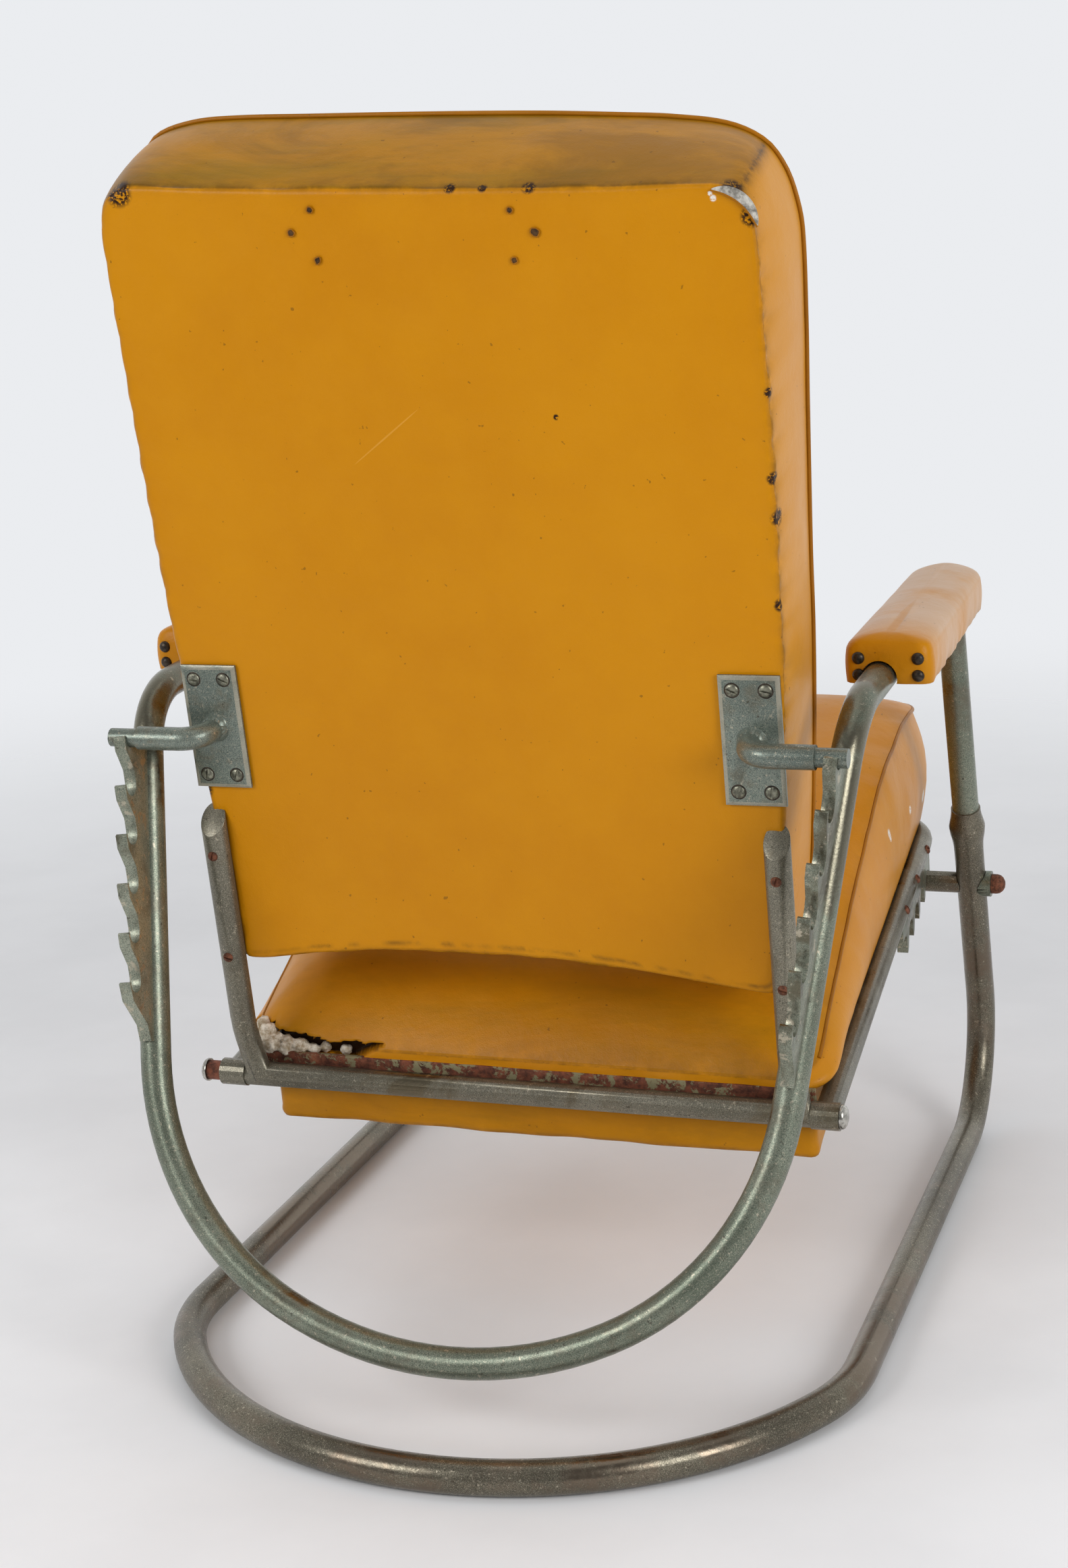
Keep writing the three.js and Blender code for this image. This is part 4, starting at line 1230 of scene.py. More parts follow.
@dataclass
class Metalwork:
    """The rigid pieces of the frame, welded, smoothed and painted."""

    finishes: Finishes
    places: Places
    nodes: dict[str, Piece]
    weld: float = 0.02
    level: float = 0.6
    crease: float = 34
    edge: float = 0.5
    plate_chamfer: float = 1.8
    plate_rim: float = 1.4
    near: float = 0.05
    yoke_radius: float = 10.56
    yoke_foot: float = 62.5
    yoke_joint: float = 72
    yoke_cut: float = 244
    yoke_top: float = 266
    yoke_slant: float = 47
    setback: float = 420.136
    base_radius: float = 13.9
    base_half: tuple[Point, ...] = (
        (291.549, -760.03, 302.09),
        (290, -870, 14),
        (290, -201.32, 14),
    )
    base_bow: Point = (0, 370.3, 14)
    base_bends: tuple[float, ...] = (91, 158.4, 305.967)
    hoop_radius: float = 12.45
    hoop_half: tuple[Point, ...] = (
        (291.455, -766.699, 284.621),
        (293, -657, 572.002),
        (295.7, -236.779, 556.002),
        (248.115, -90.849, 157.661),
    )
    hoop_bow: Point = (0, -48.482, 42.012)
    hoop_bends: tuple[float, ...] = (65, 65, 235, 299.911)
    sleeve_foot: Point = (291.48, -764.0, 291.7)
    sleeve_stub: float = 2
    sleeve_radius: float = 14.0
    sleeve_rim: Outline = (
        (6, 14.3), (12, 15.0), (18, 16.2), (25, 17), (27, 17), (31, 16.2), (37, 14.8),
        (44, 13.9), (47, 13.8), (47.4, 12.6),
    )

    def skin(
        self,
        node: str,
        material: bpy.types.Material,
        body: Body,
        slot: str,
        edge: float = 0.0,
        chamfer: float = 0.0,
    ) -> Piece:
        """Copy a node, merge and smooth it, round its edges, and put it in the node's place.

        Args:
            node: The node's name.
            material: Its finish.
            body: What it rides on.
            slot: The record's material slot.
            edge: Width of the bevel on its edges, or 0 for none.
            chamfer: How much wider the chamfer round a bracket's plate gets, or 0.

        Returns:
            The new piece.
        """
        piece = copied(f"{node}_painted", self.nodes[node])
        with editing(piece):
            bpy.ops.mesh.remove_doubles(threshold=self.weld * MM)
            if edge or chamfer:
                bpy.ops.mesh.dissolve_limited(angle_limit=math.radians(self.level))
        if chamfer:
            self.widen_chamfer(piece, chamfer)
            self.mark_chamfer(piece)
        if edge:
            eased(piece, edge)
        smoothed(piece, self.crease)
        return dress(piece, material, body, slot, (node,))

    def widen_chamfer(self, piece: Piece, width: float) -> None:
        """Move the rim of a bracket's rear face inward, which widens the chamfer round it.

        Args:
            piece: The bracket.
            width: How far the rim moves.
        """
        mesh = piece.data
        local = [self.places.back_of(v.co) for v in mesh.vertices]
        face = [i for i, p in enumerate(local) if abs(p.y - self.places.plate_face) < self.near]
        for axis in (0, 2):
            low = min(local[i][axis] for i in face)
            high = max(local[i][axis] for i in face)
            for i in face:
                if abs(local[i][axis] - low) < self.near:
                    local[i][axis] += width
                elif abs(local[i][axis] - high) < self.near:
                    local[i][axis] -= width
        for i in face:
            mesh.vertices[i].co = self.places.back(*local[i])
        mesh.update()

    def mark_chamfer(self, piece: Piece) -> None:
        """Give the faces of a bracket's chamfer the rim attribute, where the paint lays a painted
        highlight.

        Args:
            piece: The bracket.
        """
        rearward = self.places.back_way(0, 1, 0)
        rim = piece.data.attributes.new("rim", "FLOAT", "FACE")
        for face in piece.data.polygons:
            depth = self.places.plate_face - self.places.back_of(face.center).y
            slanted = 0.5 < face.normal.dot(rearward) < 0.97
            rim.data[face.index].value = float(slanted and 0.1 < depth < self.plate_rim)

    def arm_top(self, side: Side) -> Piece:
        """Model the straight part of one of the yoke's arms, its top cut on a slant.

        Args:
            side: Which arm.

        Returns:
            The closed tube.
        """
        back = self.places.back
        x, y = self.places.yoke_across * side.value, self.places.yoke_setback
        axis = self.places.back_way(0, 0, 1)
        bpy.ops.object.select_all(action="DESELECT")
        bpy.ops.mesh.primitive_cylinder_add(
            vertices=40,
            radius=self.yoke_radius * MM,
            depth=(self.yoke_top - self.yoke_foot) * MM,
            location=back(x, y, (self.yoke_top + self.yoke_foot) / 2),
            rotation=axis.to_track_quat("Z", "Y").to_euler(),
        )
        arm = settle(bpy.context.object)
        slant = math.radians(self.yoke_slant)
        with editing(arm):
            bpy.ops.mesh.bisect(
                plane_co=back(x, y, self.yoke_cut),
                plane_no=self.places.back_way(0, math.sin(slant), math.cos(slant)),
                clear_outer=True,
                use_fill=True,
            )
        return eased(arm, self.edge)

    def yoke(self) -> None:
        """Dress the yoke, with smooth arms in place of its faceted ones."""
        foot = copied("yoke_foot", self.nodes["back_yoke"])
        with editing(foot):
            bpy.ops.mesh.remove_doubles(threshold=self.weld * MM)
            bpy.ops.mesh.select_all(action="SELECT")
            bpy.ops.mesh.bisect(
                plane_co=self.places.back(0, 0, self.yoke_joint),
                plane_no=self.places.back_way(0, 0, 1),
                clear_outer=True,
                use_fill=True,
            )
        settle(foot)
        whole = joined("back_yoke_painted", [foot, *(self.arm_top(s) for s in Side)])
        smoothed(whole, self.crease)
        dress(whole, self.finishes.yoke, Body.BACK, "hammered_grey", ("back_yoke",))

    def looped(
        self,
        half: tuple[Point, ...],
        bow: Point,
        bends: tuple[float, ...],
        radius: float,
    ) -> BentTube:
        """Mirror half a tube across its bow.

        Args:
            half: Corners of one half from its end, rearward of the setback.
            bow: The corner in the middle.
            bends: Radius of each bend of the half, the bow's last.
            radius: The tube's radius.

        Returns:
            The whole tube.
        """
        y = self.setback
        left = [(-x, y + v, z) for x, v, z in half]
        right = [(x, y + v, z) for x, v, z in reversed(half)]
        middle = (bow[0], y + bow[1], bow[2])
        return BentTube((*left, middle, *right), (*bends, *reversed(bends[:-1])), radius)

    def base(self) -> None:
        """Sweep the base tube, with a flared sleeve on top of each leg."""
        f = self.finishes
        tube = self.looped(self.base_half, self.base_bow, self.base_bends, self.base_radius)
        base = tube.build("base_tube")
        dress(base, f.base, Body.FRAME, "worn_steel", ("base_frame",))
        for side in Side:
            (lx, ly, lz), (tx, ty, tz) = self.sleeve_foot, self.base_half[0]
            low = Vector((lx * side.value, self.setback + ly, lz))
            top = Vector((tx * side.value, self.setback + ty, tz))
            stub = (top - low).normalized() * self.sleeve_stub
            sleeve = BentTube(
                (tuple(top - stub), tuple(top)), (), self.sleeve_radius, self.sleeve_rim
            ).build(f"leg_sleeve_{side.hand}")
            dress(sleeve, f.base, Body.FRAME, "worn_steel")

    def hoop(self) -> None:
        """Sweep the hoop, from one leg over its arm and round the bow to the other."""
        tube = self.looped(self.hoop_half, self.hoop_bow, self.hoop_bends, self.hoop_radius)
        hoop = tube.build("hoop_bent_tube")
        dress(hoop, self.finishes.hoop, Body.FRAME, "hammered_green", ("hoop_tube",))

    def build(self) -> None:
        """Dress every rigid node that shows."""
        f, edge, chamfer = self.finishes, self.edge, self.plate_chamfer
        self.base()
        self.hoop()
        self.skin("front_rod", f.base, Body.FRAME, "rust")
        self.yoke()
        self.skin("hinge_rod", f.rust, Body.BACK, "rust")
        self.skin("seat_frame", f.yoke, Body.SEAT, "hammered_grey")
        self.skin("seat_rear_bar", f.strip, Body.SEAT, "rust", edge)
        for hand in (side.hand for side in Side):
            self.skin(f"rod_cap_{hand}", f.chrome, Body.BACK, "rust")
            self.skin(f"back_rack_{hand}", f.rack, Body.FRAME, "rack_steel", edge)
            self.skin(f"seat_rack_{hand}", f.rack, Body.SEAT, "rack_steel", edge)
            bracket = f"pin_bracket_{hand}"
            self.skin(bracket, f.bracket, Body.BACK, "dark_steel", chamfer=chamfer)
            self.skin(f"rod_washer_{hand}", f.hoop, Body.FRAME, "rust")
            self.skin(f"rod_nut_{hand}", f.rusty_screw, Body.FRAME, "rust")
            self.skin(f"arm_board_{hand}", f.wood, Body.FRAME, "bare_wood", edge)


@dataclass
class Fasteners:
    """Slotted screws and dome nails, each modelled once and copied."""

    finishes: Finishes
    places: Places
    screw_size: tuple[float, float] = (5.2, 2.0)
    small_size: tuple[float, float] = (4.4, 2.4)
    sink_shadow_size: tuple[float, float] = (6.2, 0.4)
    slot_width: float = 1.5
    slot_depth: float = 1.5
    crease: float = 40
    plate_middle: tuple[float, float] = (223, 324.8)
    plate_across: float = 13
    plate_up: float = 41
    yoke_face: float = 25.6
    yoke_levels: tuple[float, ...] = (123, 215)
    rail_reaches: tuple[float, ...] = (357, 421, 485)
    rail_face: float = 10.2

    def dome(self, name: str, radius: float, height: float, slotted: bool) -> Piece:
        """Model a dome on the origin, its flat side down.

        Args:
            name: The name of the pattern.
            radius: Radius of its rim.
            height: Height of its crown.
            slotted: Whether a screwdriver's slot crosses it.

        Returns:
            The pattern, which is copied and then removed.
        """
        bpy.ops.object.select_all(action="DESELECT")
        bpy.ops.mesh.primitive_uv_sphere_add(segments=24, ring_count=14, radius=radius * MM)
        made = bpy.context.object
        made.name = name
        with editing(made):
            bpy.ops.mesh.bisect(
                plane_co=(0, 0, 0), plane_no=(0, 0, 1), clear_inner=True, use_fill=True
            )
        made.scale.z = height / radius
        settle(made)
        if slotted:
            bpy.ops.object.select_all(action="DESELECT")
            bpy.ops.mesh.primitive_cube_add(size=1, location=(0, 0, height * MM))
            blade = bpy.context.object
            blade.scale = (self.slot_width * MM, 3 * radius * MM, 2 * self.slot_depth * MM)
            settle(blade)
            carve(made, blade)
        return smoothed(made, self.crease)

    def copies(
        self,
        name: str,
        pattern: Piece,
        spots: Sequence[tuple[Vector, Vector, float]],
    ) -> Piece:
        """Set copies of a pattern and join them.

        Args:
            name: The joined piece's name.
            pattern: The pattern on the origin.
            spots: A place in metres, the direction it faces, and its turn, for each copy.

        Returns:
            One object that holds them all.
        """
        made = []
        for at, facing, turn in spots:
            one = copied(name, pattern)
            spin = facing.to_track_quat("Z", "Y").to_matrix().to_4x4()
            one.data.transform(Matrix.Translation(at) @ spin @ Matrix.Rotation(turn, 4, "Z"))
            made.append(one)
        return joined(name, made)

    def build(self) -> None:
        """Set every screw."""
        f, p = self.finishes, self.places
        rear = p.back_way(0, 1, 0)
        screw = self.dome("screw_pattern", *self.screw_size, True)
        small = self.dome("small_screw_pattern", *self.small_size, True)
        # Painted shadow: a thin dark disc under each bracket screw stands in for the shade in its
        # countersink.
        sink_shadow = self.dome("screw_sink_shadow_pattern", *self.sink_shadow_size, False)
        across, up = self.plate_middle
        for side in Side:
            s, hand = side.value, side.hand
            plate = [
                (p.back(s * (across + x), p.plate_face, up + z), rear, 0.5 + x * 0.13 + z * 0.21)
                for x in (-self.plate_across, self.plate_across)
                for z in (-self.plate_up, self.plate_up)
            ]
            yoke = [
                (p.back(s * p.yoke_across, self.yoke_face, z), rear, z * 0.7)
                for z in self.yoke_levels
            ]
            out = (p.seat(s, 0, 0.35) - p.seat(0, 0, 0)).normalized()
            rail = [
                (p.seat(s * p.half_span(u), u, 0) + out * self.rail_face * MM, out, u * 0.3)
                for u in self.rail_reaches
            ]
            for name, pattern, spots, finish, body, slot in (
                ("bracket_screws", screw, plate, f.screw, Body.BACK, "dark_steel"),
                # The dark discs under the bracket screws are painted shadow.
                ("bracket_screw_sink_shadows", sink_shadow, plate, f.nail, Body.BACK, "dark_steel"),
                ("yoke_screws", small, yoke, f.rusty_screw, Body.BACK, "rust"),
                ("seat_screws", small, rail, f.rusty_screw, Body.SEAT, "rust"),
            ):
                dress(self.copies(f"{name}_{hand}", pattern, spots), finish, body, slot)
        for pattern in (screw, small, sink_shadow):
            bpy.data.objects.remove(pattern)


# Upholstery


@dataclass
class BackUpholstery:
    """The board's vinyl rear, the boxed sides, and the stuffed front of the back."""

    finishes: Finishes
    places: Places
    rear_line: Outline = (
        (0, 131), (-80, 127.5), (-165, 117.5), (-205, 112), (-222, 110.4), (-228.5, 113),
        (-230, 119), (-236, 180), (-243, 260), (-249.5, 370), (-251, 450), (-251.6, 522),
        (-251.4, 591), (-250.6, 647), (-250, 690), (-249, 706), (-245, 724), (-233, 736.5),
        (-214, 739.5), (-150, 740), (-42, 743.6), (80, 748.3), (170, 752.6), (228, 756.5),
        (243, 755), (254, 746), (260, 728), (260.5, 690), (259.6, 640), (257.5, 550),
        (255, 470), (252, 400), (243, 290), (235, 190), (231, 124), (229.8, 117.5),
        (224, 115.4), (208, 116.6), (165, 123), (90, 130),
    )
    front_line: Outline = (
        (0, 112), (-80, 110), (-160, 108), (-208, 107), (-226, 112), (-232, 130), (-240, 200),
        (-247, 300), (-251, 385), (-252.4, 446), (-254.5, 508), (-256.7, 568), (-259, 627),
        (-260, 690), (-257, 712), (-250, 734), (-236.5, 753), (-211, 766), (-170, 773),
        (-135, 776), (-69, 780.6), (18, 784.6), (114, 788), (179, 790), (215, 788.5),
        (246, 780), (259, 764), (264, 742), (264, 690), (262, 620), (258, 540), (254, 450),
        (249, 370), (243, 290), (237, 200), (231, 130), (226, 112), (208, 107), (160, 108),
        (80, 110),
    )
    board_rear: float = 10.9
    wall_rear: float = 7.7
    welt_depth: float = -80.5
    welt_radius: float = 1.9
    crown: float = 18
    arm_room: float = 10.9
    arm_top: float = 252
    bracket: tuple[float, float] = (223, 325)
    stitches: int = 76
    points: int = 640
    rear_steps: tuple[float, ...] = (11, 7.5, 4.5, 2.2, 0.8)
    lip_inward: tuple[float, ...] = (0.8, 2.2, 4.5, 7.5, 11, 16)
    lip_rise: tuple[float, ...] = (-1.6, -0.2, 0.35, 0.3, -0.15, 0)
    wall_steps: tuple[float, ...] = (
        0, 0.02, 0.05, 0.1, 0.17, 0.26, 0.36, 0.46, 0.56, 0.66, 0.76, 0.85, 0.92, 0.97, 1,
    )
    front_steps: tuple[float, ...] = (1.5, 4, 8, 14, 22, 34, 50, 70, 95, 125, 160, 200, 240)

    def clear_of_arms(self, ring: np.ndarray) -> np.ndarray:
        """Press a ring's points in where the yoke's arms lie against the back.

        Args:
            ring: Points across, rearward and up.

        Returns:
            The pressed ring.
        """
        pressed = ring.copy()
        aside = np.abs(np.abs(ring[:, 0]) - self.places.yoke_across)
        depth = np.sqrt(np.clip(self.arm_room**2 - aside**2, 0, None))
        limit = self.places.yoke_setback - depth
        touched = (aside < self.arm_room) & (ring[:, 2] < self.arm_top)
        fade = np.clip((self.arm_top - ring[:, 2]) / 8, 0, 1)
        low = limit * fade + self.board_rear * (1 - fade)
        pressed[:, 1] = np.where(touched, np.minimum(ring[:, 1], low), ring[:, 1])
        return pressed

    def pulled(self, rear: np.ndarray) -> np.ndarray:
        """How hard the hem's stitches pull at each point of the sides.

        Args:
            rear: The rear outline.

        Returns:
            From 0 to 1 at each point.
        """
        arc = np.arange(self.points) / self.points
        stitches = 1 - np.abs(np.sin(arc * math.pi * self.stitches)) ** 0.7
        plumb = np.clip((np.abs(rear[:, 0]) - 225) / 12, 0, 1)
        return stitches * plumb * np.clip((rear[:, 1] - 260) / 60, 0, 1)

    def add_rear(self, loft: Loft, rear: np.ndarray) -> None:
        """Add the flat rear, from its middle to its edge, with its hem.

        Args:
            loft: The loft that gets the rings.
            rear: The rear outline.
        """
        middle = rear.mean(0)
        span = np.linalg.norm(rear - middle, axis=1)
        pulled = self.pulled(rear)
        flat_line = np.column_stack([rear, rear[:, 0] * 0])
        dashes = np.clip(ripple(flat_line, 17, 5.0) * 3 + 0.5, 0, 1)
        hem = np.clip((150 - rear[:, 1]) / 12, 0, 1) * dashes
        across, up = self.bracket
        for inward in (*np.geomspace(230, 16, 18), *self.rear_steps):
            share = np.clip(1 - inward / span, 0.02, 1)[:, None]
            flat = middle + (rear - middle) * share
            ring = np.column_stack([flat[:, 0], np.zeros(self.points), flat[:, 1]])
            beside = np.exp(-((np.abs(flat[:, 0]) - across) ** 2) / 900)
            quiet = 1 - beside * np.exp(-((flat[:, 1] - up) ** 2) / 5000)
            wave = ripple(ring, 120, 3.1) * 1.1 + ripple(ring, 45, 7.7) * 0.35
            wave = np.minimum(wave * np.clip(inward / 60, 0.15, 1), 0.6) * quiet
            lip = np.interp(inward, self.lip_inward, self.lip_rise)
            tuck = -1.7 * pulled * np.exp(-inward / 6)
            tuck = tuck - 1.1 * hem * math.exp(-(((inward - 7.5) / 2.2) ** 2))
            ring[:, 1] = self.board_rear - 0.7 + wave + lip + tuck
            dirty = np.exp(-inward / 2.5) * 0.55 + 0.6 * hem * (6 < inward < 9)
            loft.add(self.clear_of_arms(ring), seam=dirty)

    def add_wall(self, loft: Loft, rear: np.ndarray, front: np.ndarray) -> None:
        """Add the boxed sides, top and foot, from the hem to the front welt.

        Args:
            loft: The loft that gets the rings.
            rear: The rear outline.
            front: The front outline.
        """
        out = outward(front) * -1
        pulled = self.pulled(rear)
        top = np.clip((rear[:, 1] - 725) / 12, 0, 1)
        right = np.clip((-rear[:, 0] - 236) / 10, 0, 1) * (1 - top)
        corner = np.argmin(np.linalg.norm(rear - np.array((-238, 733)), axis=1))
        crease = np.exp(-(((np.arange(self.points) - corner) / 0.9) ** 2))
        for share in self.wall_steps:
            flat = rear + (front - rear) * share
            depth = self.wall_rear + (self.welt_depth - self.wall_rear) * share
            ring = np.column_stack([flat[:, 0], np.full(self.points, depth), flat[:, 1]])
            arch = math.sin(math.pi * share)
            folds = ripple(ring * [1, 0.35, 1], 26, 11.3) * 1.5 * math.exp(-share * 3.2)
            folds += ripple(ring * [1, 0.5, 1], 60, 5.9) * 1.6 * arch
            scallop = -3.2 * pulled * math.exp(-share * 7)
            move = (3.2 + 1.6 * top) * arch**0.8 + folds + scallop
            ring[:, 0] += out[:, 0] * move
            ring[:, 2] += out[:, 1] * move
            edge = 0.6 * math.exp(-share * 30) + 0.5 * math.exp(-(1 - share) * 40)
            loft.add(
                self.clear_of_arms(ring),
                seam=edge + 0.4 * pulled * math.exp(-share * 10) + crease,
                # The right side is laid lighter: fading, and painted light where the side light
                # falls.
                tone=right * 0.3,
                # Painted shade: the upward top panel is laid darker, because less light falls on
                # it, with grime smears over it.
                grime=top * 0.9,
            )

    def add_front(self, loft: Loft, front: np.ndarray) -> None:
        """Add the crowned front, from its welt to its middle.

        Args:
            loft: The loft that gets the rings.
            front: The front outline.
        """
        centre = front.mean(0)
        reach = np.linalg.norm(front - centre, axis=1)
        for inward in self.front_steps:
            share = np.clip(1 - inward / reach, 0.03, 1)
            flat = centre + (front - centre) * share[:, None]
            ring = np.column_stack([flat[:, 0], np.zeros(self.points), flat[:, 1]])
            rise = 1 - (1 - np.clip(inward / 150, 0, 1)) ** 2.4
            ring[:, 1] = self.welt_depth - 2 - self.crown * rise
            ring[:, 1] += ripple(ring, 90, 2.2) * 2.0 * rise
            loft.add(ring, seam=0.5 * math.exp(-inward / 3), tone=0.15)

    def build(self) -> None:
        """Make the back's soft pieces."""
        rear = resample(self.rear_line, self.points)
        front = resample(self.front_line, self.points)
        loft = Loft(self.places.back)
        self.add_rear(loft, rear)
        self.add_wall(loft, rear, front)
        self.add_front(loft, front)
        piece = loft.build("back_upholstery")
        stands_for = ("back_board", "back_cushion")
        dress(piece, self.finishes.vinyl_back, Body.BACK, "ochre_vinyl", stands_for)
        lifted = front - outward(front) * 1.2
        line = [self.places.back(x, self.welt_depth, z) for x, z in lifted[::2]]
        cord = cord_along("back_front_welt", line, self.welt_radius * MM)
        dress(cord, self.finishes.welt, Body.BACK, "ochre_vinyl")


@dataclass
class SeatUpholstery:
    """The stuffed seat and the covered box under it."""

    finishes: Finishes
    places: Places
    rear: float = 13
    foot_reach: float = 565
    reach: float = 590
    foot_level: float = 10.9
    welt_rear: float = 22
    welt_brow: float = 128
    brow_reach: float = 480
    welt_front: float = 108
    welt_radius: float = 1.7
    rear_crown: float = 40
    crown: float = 20
    foot_inset: float = 4
    welt_inset: float = 12
    points: int = 620
    tear_depth: float = 15
    tear_height: float = 17
    tear_end: float = 120
    box_top: float = 10.3
    box_front: float = 535
    box_rear_depth: float = 61
    box_front_depth: float = 23
    foot_steps: tuple[float, ...] = (0.1, 0.3, 0.5, 0.7, 0.85, 0.95, 0.99)
    wall_steps: tuple[float, ...] = (
        0, 0.05, 0.12, 0.22, 0.34, 0.46, 0.58, 0.7, 0.8, 0.88, 0.94, 0.98, 1,
    )
    top_steps: tuple[float, ...] = (
        0.4, 0.9, 1.5, 2.2, 3, 4.2, 6, 8.5, 12, 18, 27, 38, 52, 70, 92, 120, 155, 200, 240,
    )
    box_upper: tuple[float, ...] = (235, 236, 229, 9)
    box_lower: tuple[float, ...] = (229, 247, 232, 6)
    bar_reach: float = 16.4
    bar_across: float = 249
    bar_foot: float = -9.5
    box_steps: Outline = (
        (0.5, 0.0), (0.9, 0.0), (1.0, 0.02), (1.0, 0.12), (1.0, 0.3), (1.0, 0.42),
        (1.0, 0.52), (1.0, 0.62), (1.0, 0.72), (1.0, 0.8), (1.002, 0.86), (1.002, 0.9),
        (1.0, 0.94), (0.997, 0.97), (0.99, 0.99), (0.975, 1.0), (0.9, 1.0), (0.6, 1.0),
        (0.2, 1.0),
    )
    lumps: tuple[tuple[float, float, float, float], ...] = (
        (236, 23, 27, 9.5),
        (229, 19, 21, 10),
        (218, 18.5, 19, 9),
        (206, 20, 18, 7.5),
        (241, 28, 34, 6.5),
        (194, 22, 15, 5.5),
        (184, 25, 15, 4.5),
        (165, 24, 15, 5),
    )

    def outline(self, front: float, inset: float) -> np.ndarray:
        """The seat's plan outline: across and forward.

        Args:
            front: Reach of its front edge.
            inset: Inward of the side tubes' centrelines.

        Returns:
            Evenly spaced points, anticlockwise from the rear.
        """
        half_span = self.places.half_span
        rear, ahead = half_span(self.rear) - inset, half_span(front) - inset
        corners = [
            (0, self.rear, 1),
            (rear, self.rear, 28),
            (ahead, front, 30),
            (-ahead, front, 30),
            (-rear, self.rear, 28),
        ]
        return resample(thinned(rounded(corners, 5)), self.points)

    def welt_level(self, reach: np.ndarray) -> np.ndarray:
        """Height of the side seam at a reach.

        Args:
            reach: Forward of the hinge rod.

        Returns:
            Above the side tubes' centrelines.
        """
        climb = np.clip((reach - self.rear) / (self.brow_reach - self.rear), 0, 1)
        past = np.clip((reach - self.brow_reach) / (self.reach - self.brow_reach), 0, 1)
        up = self.welt_rear + (self.welt_brow - self.welt_rear) * np.sin(math.pi / 2 * climb)
        return up + (self.welt_front - self.welt_brow) * past**2

    def torn(self, ring: np.ndarray) -> tuple[np.ndarray, np.ndarray]:
        """Open the ragged tear along the left of the seat's rear edge.

        Args:
            ring: Points across, forward and up.

        Returns:
            The ring with its torn part sunk, and how deep each point lies in the tear.
        """
        across = ring[:, 0]
        flat = np.column_stack([across, across * 0, across * 0])
        ragged = ripple(flat, 11, 3.3) * 5 + ripple(flat, 4.1, 9.9) * 2.6
        lip = self.tear_height + ragged * np.clip((across - self.tear_end - 4) / 30, 0, 1)
        lip = lip + 6 * np.exp(-(((across - 232) / 22) ** 2))
        sill = 19 * np.clip((156 - across) / 32, 0, 1) - 2
        above = ring[:, 2] - self.foot_level
        depth = np.clip((lip - above) / 1.6, 0, 1) * np.clip((above - sill) / 1.6, 0, 1)
        depth = depth * (ring[:, 1] < self.rear + 30) * (across > self.tear_end)
        sunk = ring.copy()
        sunk[:, 1] += self.tear_depth * depth
        sunk[:, 0] -= 9 * depth * np.clip((across - 225) / 15, 0, 1)
        return sunk, depth

    def add_wall(self, loft: Loft, foot: np.ndarray, welt: np.ndarray, level: np.ndarray) -> None:
        """Add the boxed sides, from the foot to the welt.

        Args:
            loft: The loft that gets the rings.
            foot: The outline on the frame.
            welt: The outline of the seam.
            level: The seam's height at each point.
        """
        out = outward(welt)
        nose = np.clip(out[:, 1], 0, 1) ** 2
        tail = np.clip(-out[:, 1], 0, 1) ** 2
        aside = 1 - nose - tail
        for share in self.wall_steps:
            flat = foot + (welt - foot) * share
            height = self.foot_level + (level - self.foot_level) * share
            ring = np.column_stack([flat, height])
            arch = math.sin(math.pi * share)
            move = (10 + 15 * nose - 10 * tail) * arch
            move = move + ripple(ring * [1, 1, 0.5], 34, 4.4) * 1.3 * arch
            move += ripple(ring, 90, 8.8) * 2.2 * arch * (aside + nose)
            ring[:, :2] += out * move[:, None]
            ring, hollow = self.torn(ring)
            edge = 0.5 * math.exp(-(1 - share) * 26)
            # The side walls are laid a little lighter: fading, and painted light on the sides.
            loft.add(ring, seam=edge, tone=0.05 + 0.12 * aside, torn=hollow)

    def add_top(self, loft: Loft, welt: np.ndarray, level: np.ndarray) -> None:
        """Add the crowned top, from the welt to its middle.

        Args:
            loft: The loft that gets the rings.
            welt: The outline of the seam.
            level: The seam's height at each point.
        """
        centre = welt.mean(0)
        span = np.linalg.norm(welt - centre, axis=1)
        sway = level - self.welt_level(welt[:, 1])
        for inward in self.top_steps:
            share = np.clip(1 - inward / span, 0.03, 1)
            flat = centre + (welt - centre) * share[:, None]
            climb = np.clip((flat[:, 1] - self.rear) / (self.brow_reach - self.rear), 0, 1)
            crown = self.rear_crown + (self.crown - self.rear_crown) * climb
            base = self.welt_level(flat[:, 1]) + sway * math.exp(-inward / 30)
            ring = np.column_stack([flat, base + 2 + crown * (1 - share**6)])
            ring[:, 2] += ripple(ring, 110, 1.7) * 3.0 * min(1, inward / 60)
            ring[:, 2] += ripple(ring * [1, 0.5, 1], 40, 6.1) * 0.9 * min(1, inward / 20)
            rearward = np.clip(1 - (flat[:, 1] - self.rear) / 22, 0, 1)
            ring, hollow = self.torn(ring)
            worn = 0.2 * math.exp(-inward / 4) + 0.1 * rearward
            # Painted shadow of the back: the seat's rear is laid darker, fading out forward.
            shaded = 0.38 * np.clip(1 - (flat[:, 1] - 60) / 160, 0, 1)
            loft.add(ring, seam=worn, tone=0.05, grime=shaded, torn=hollow)

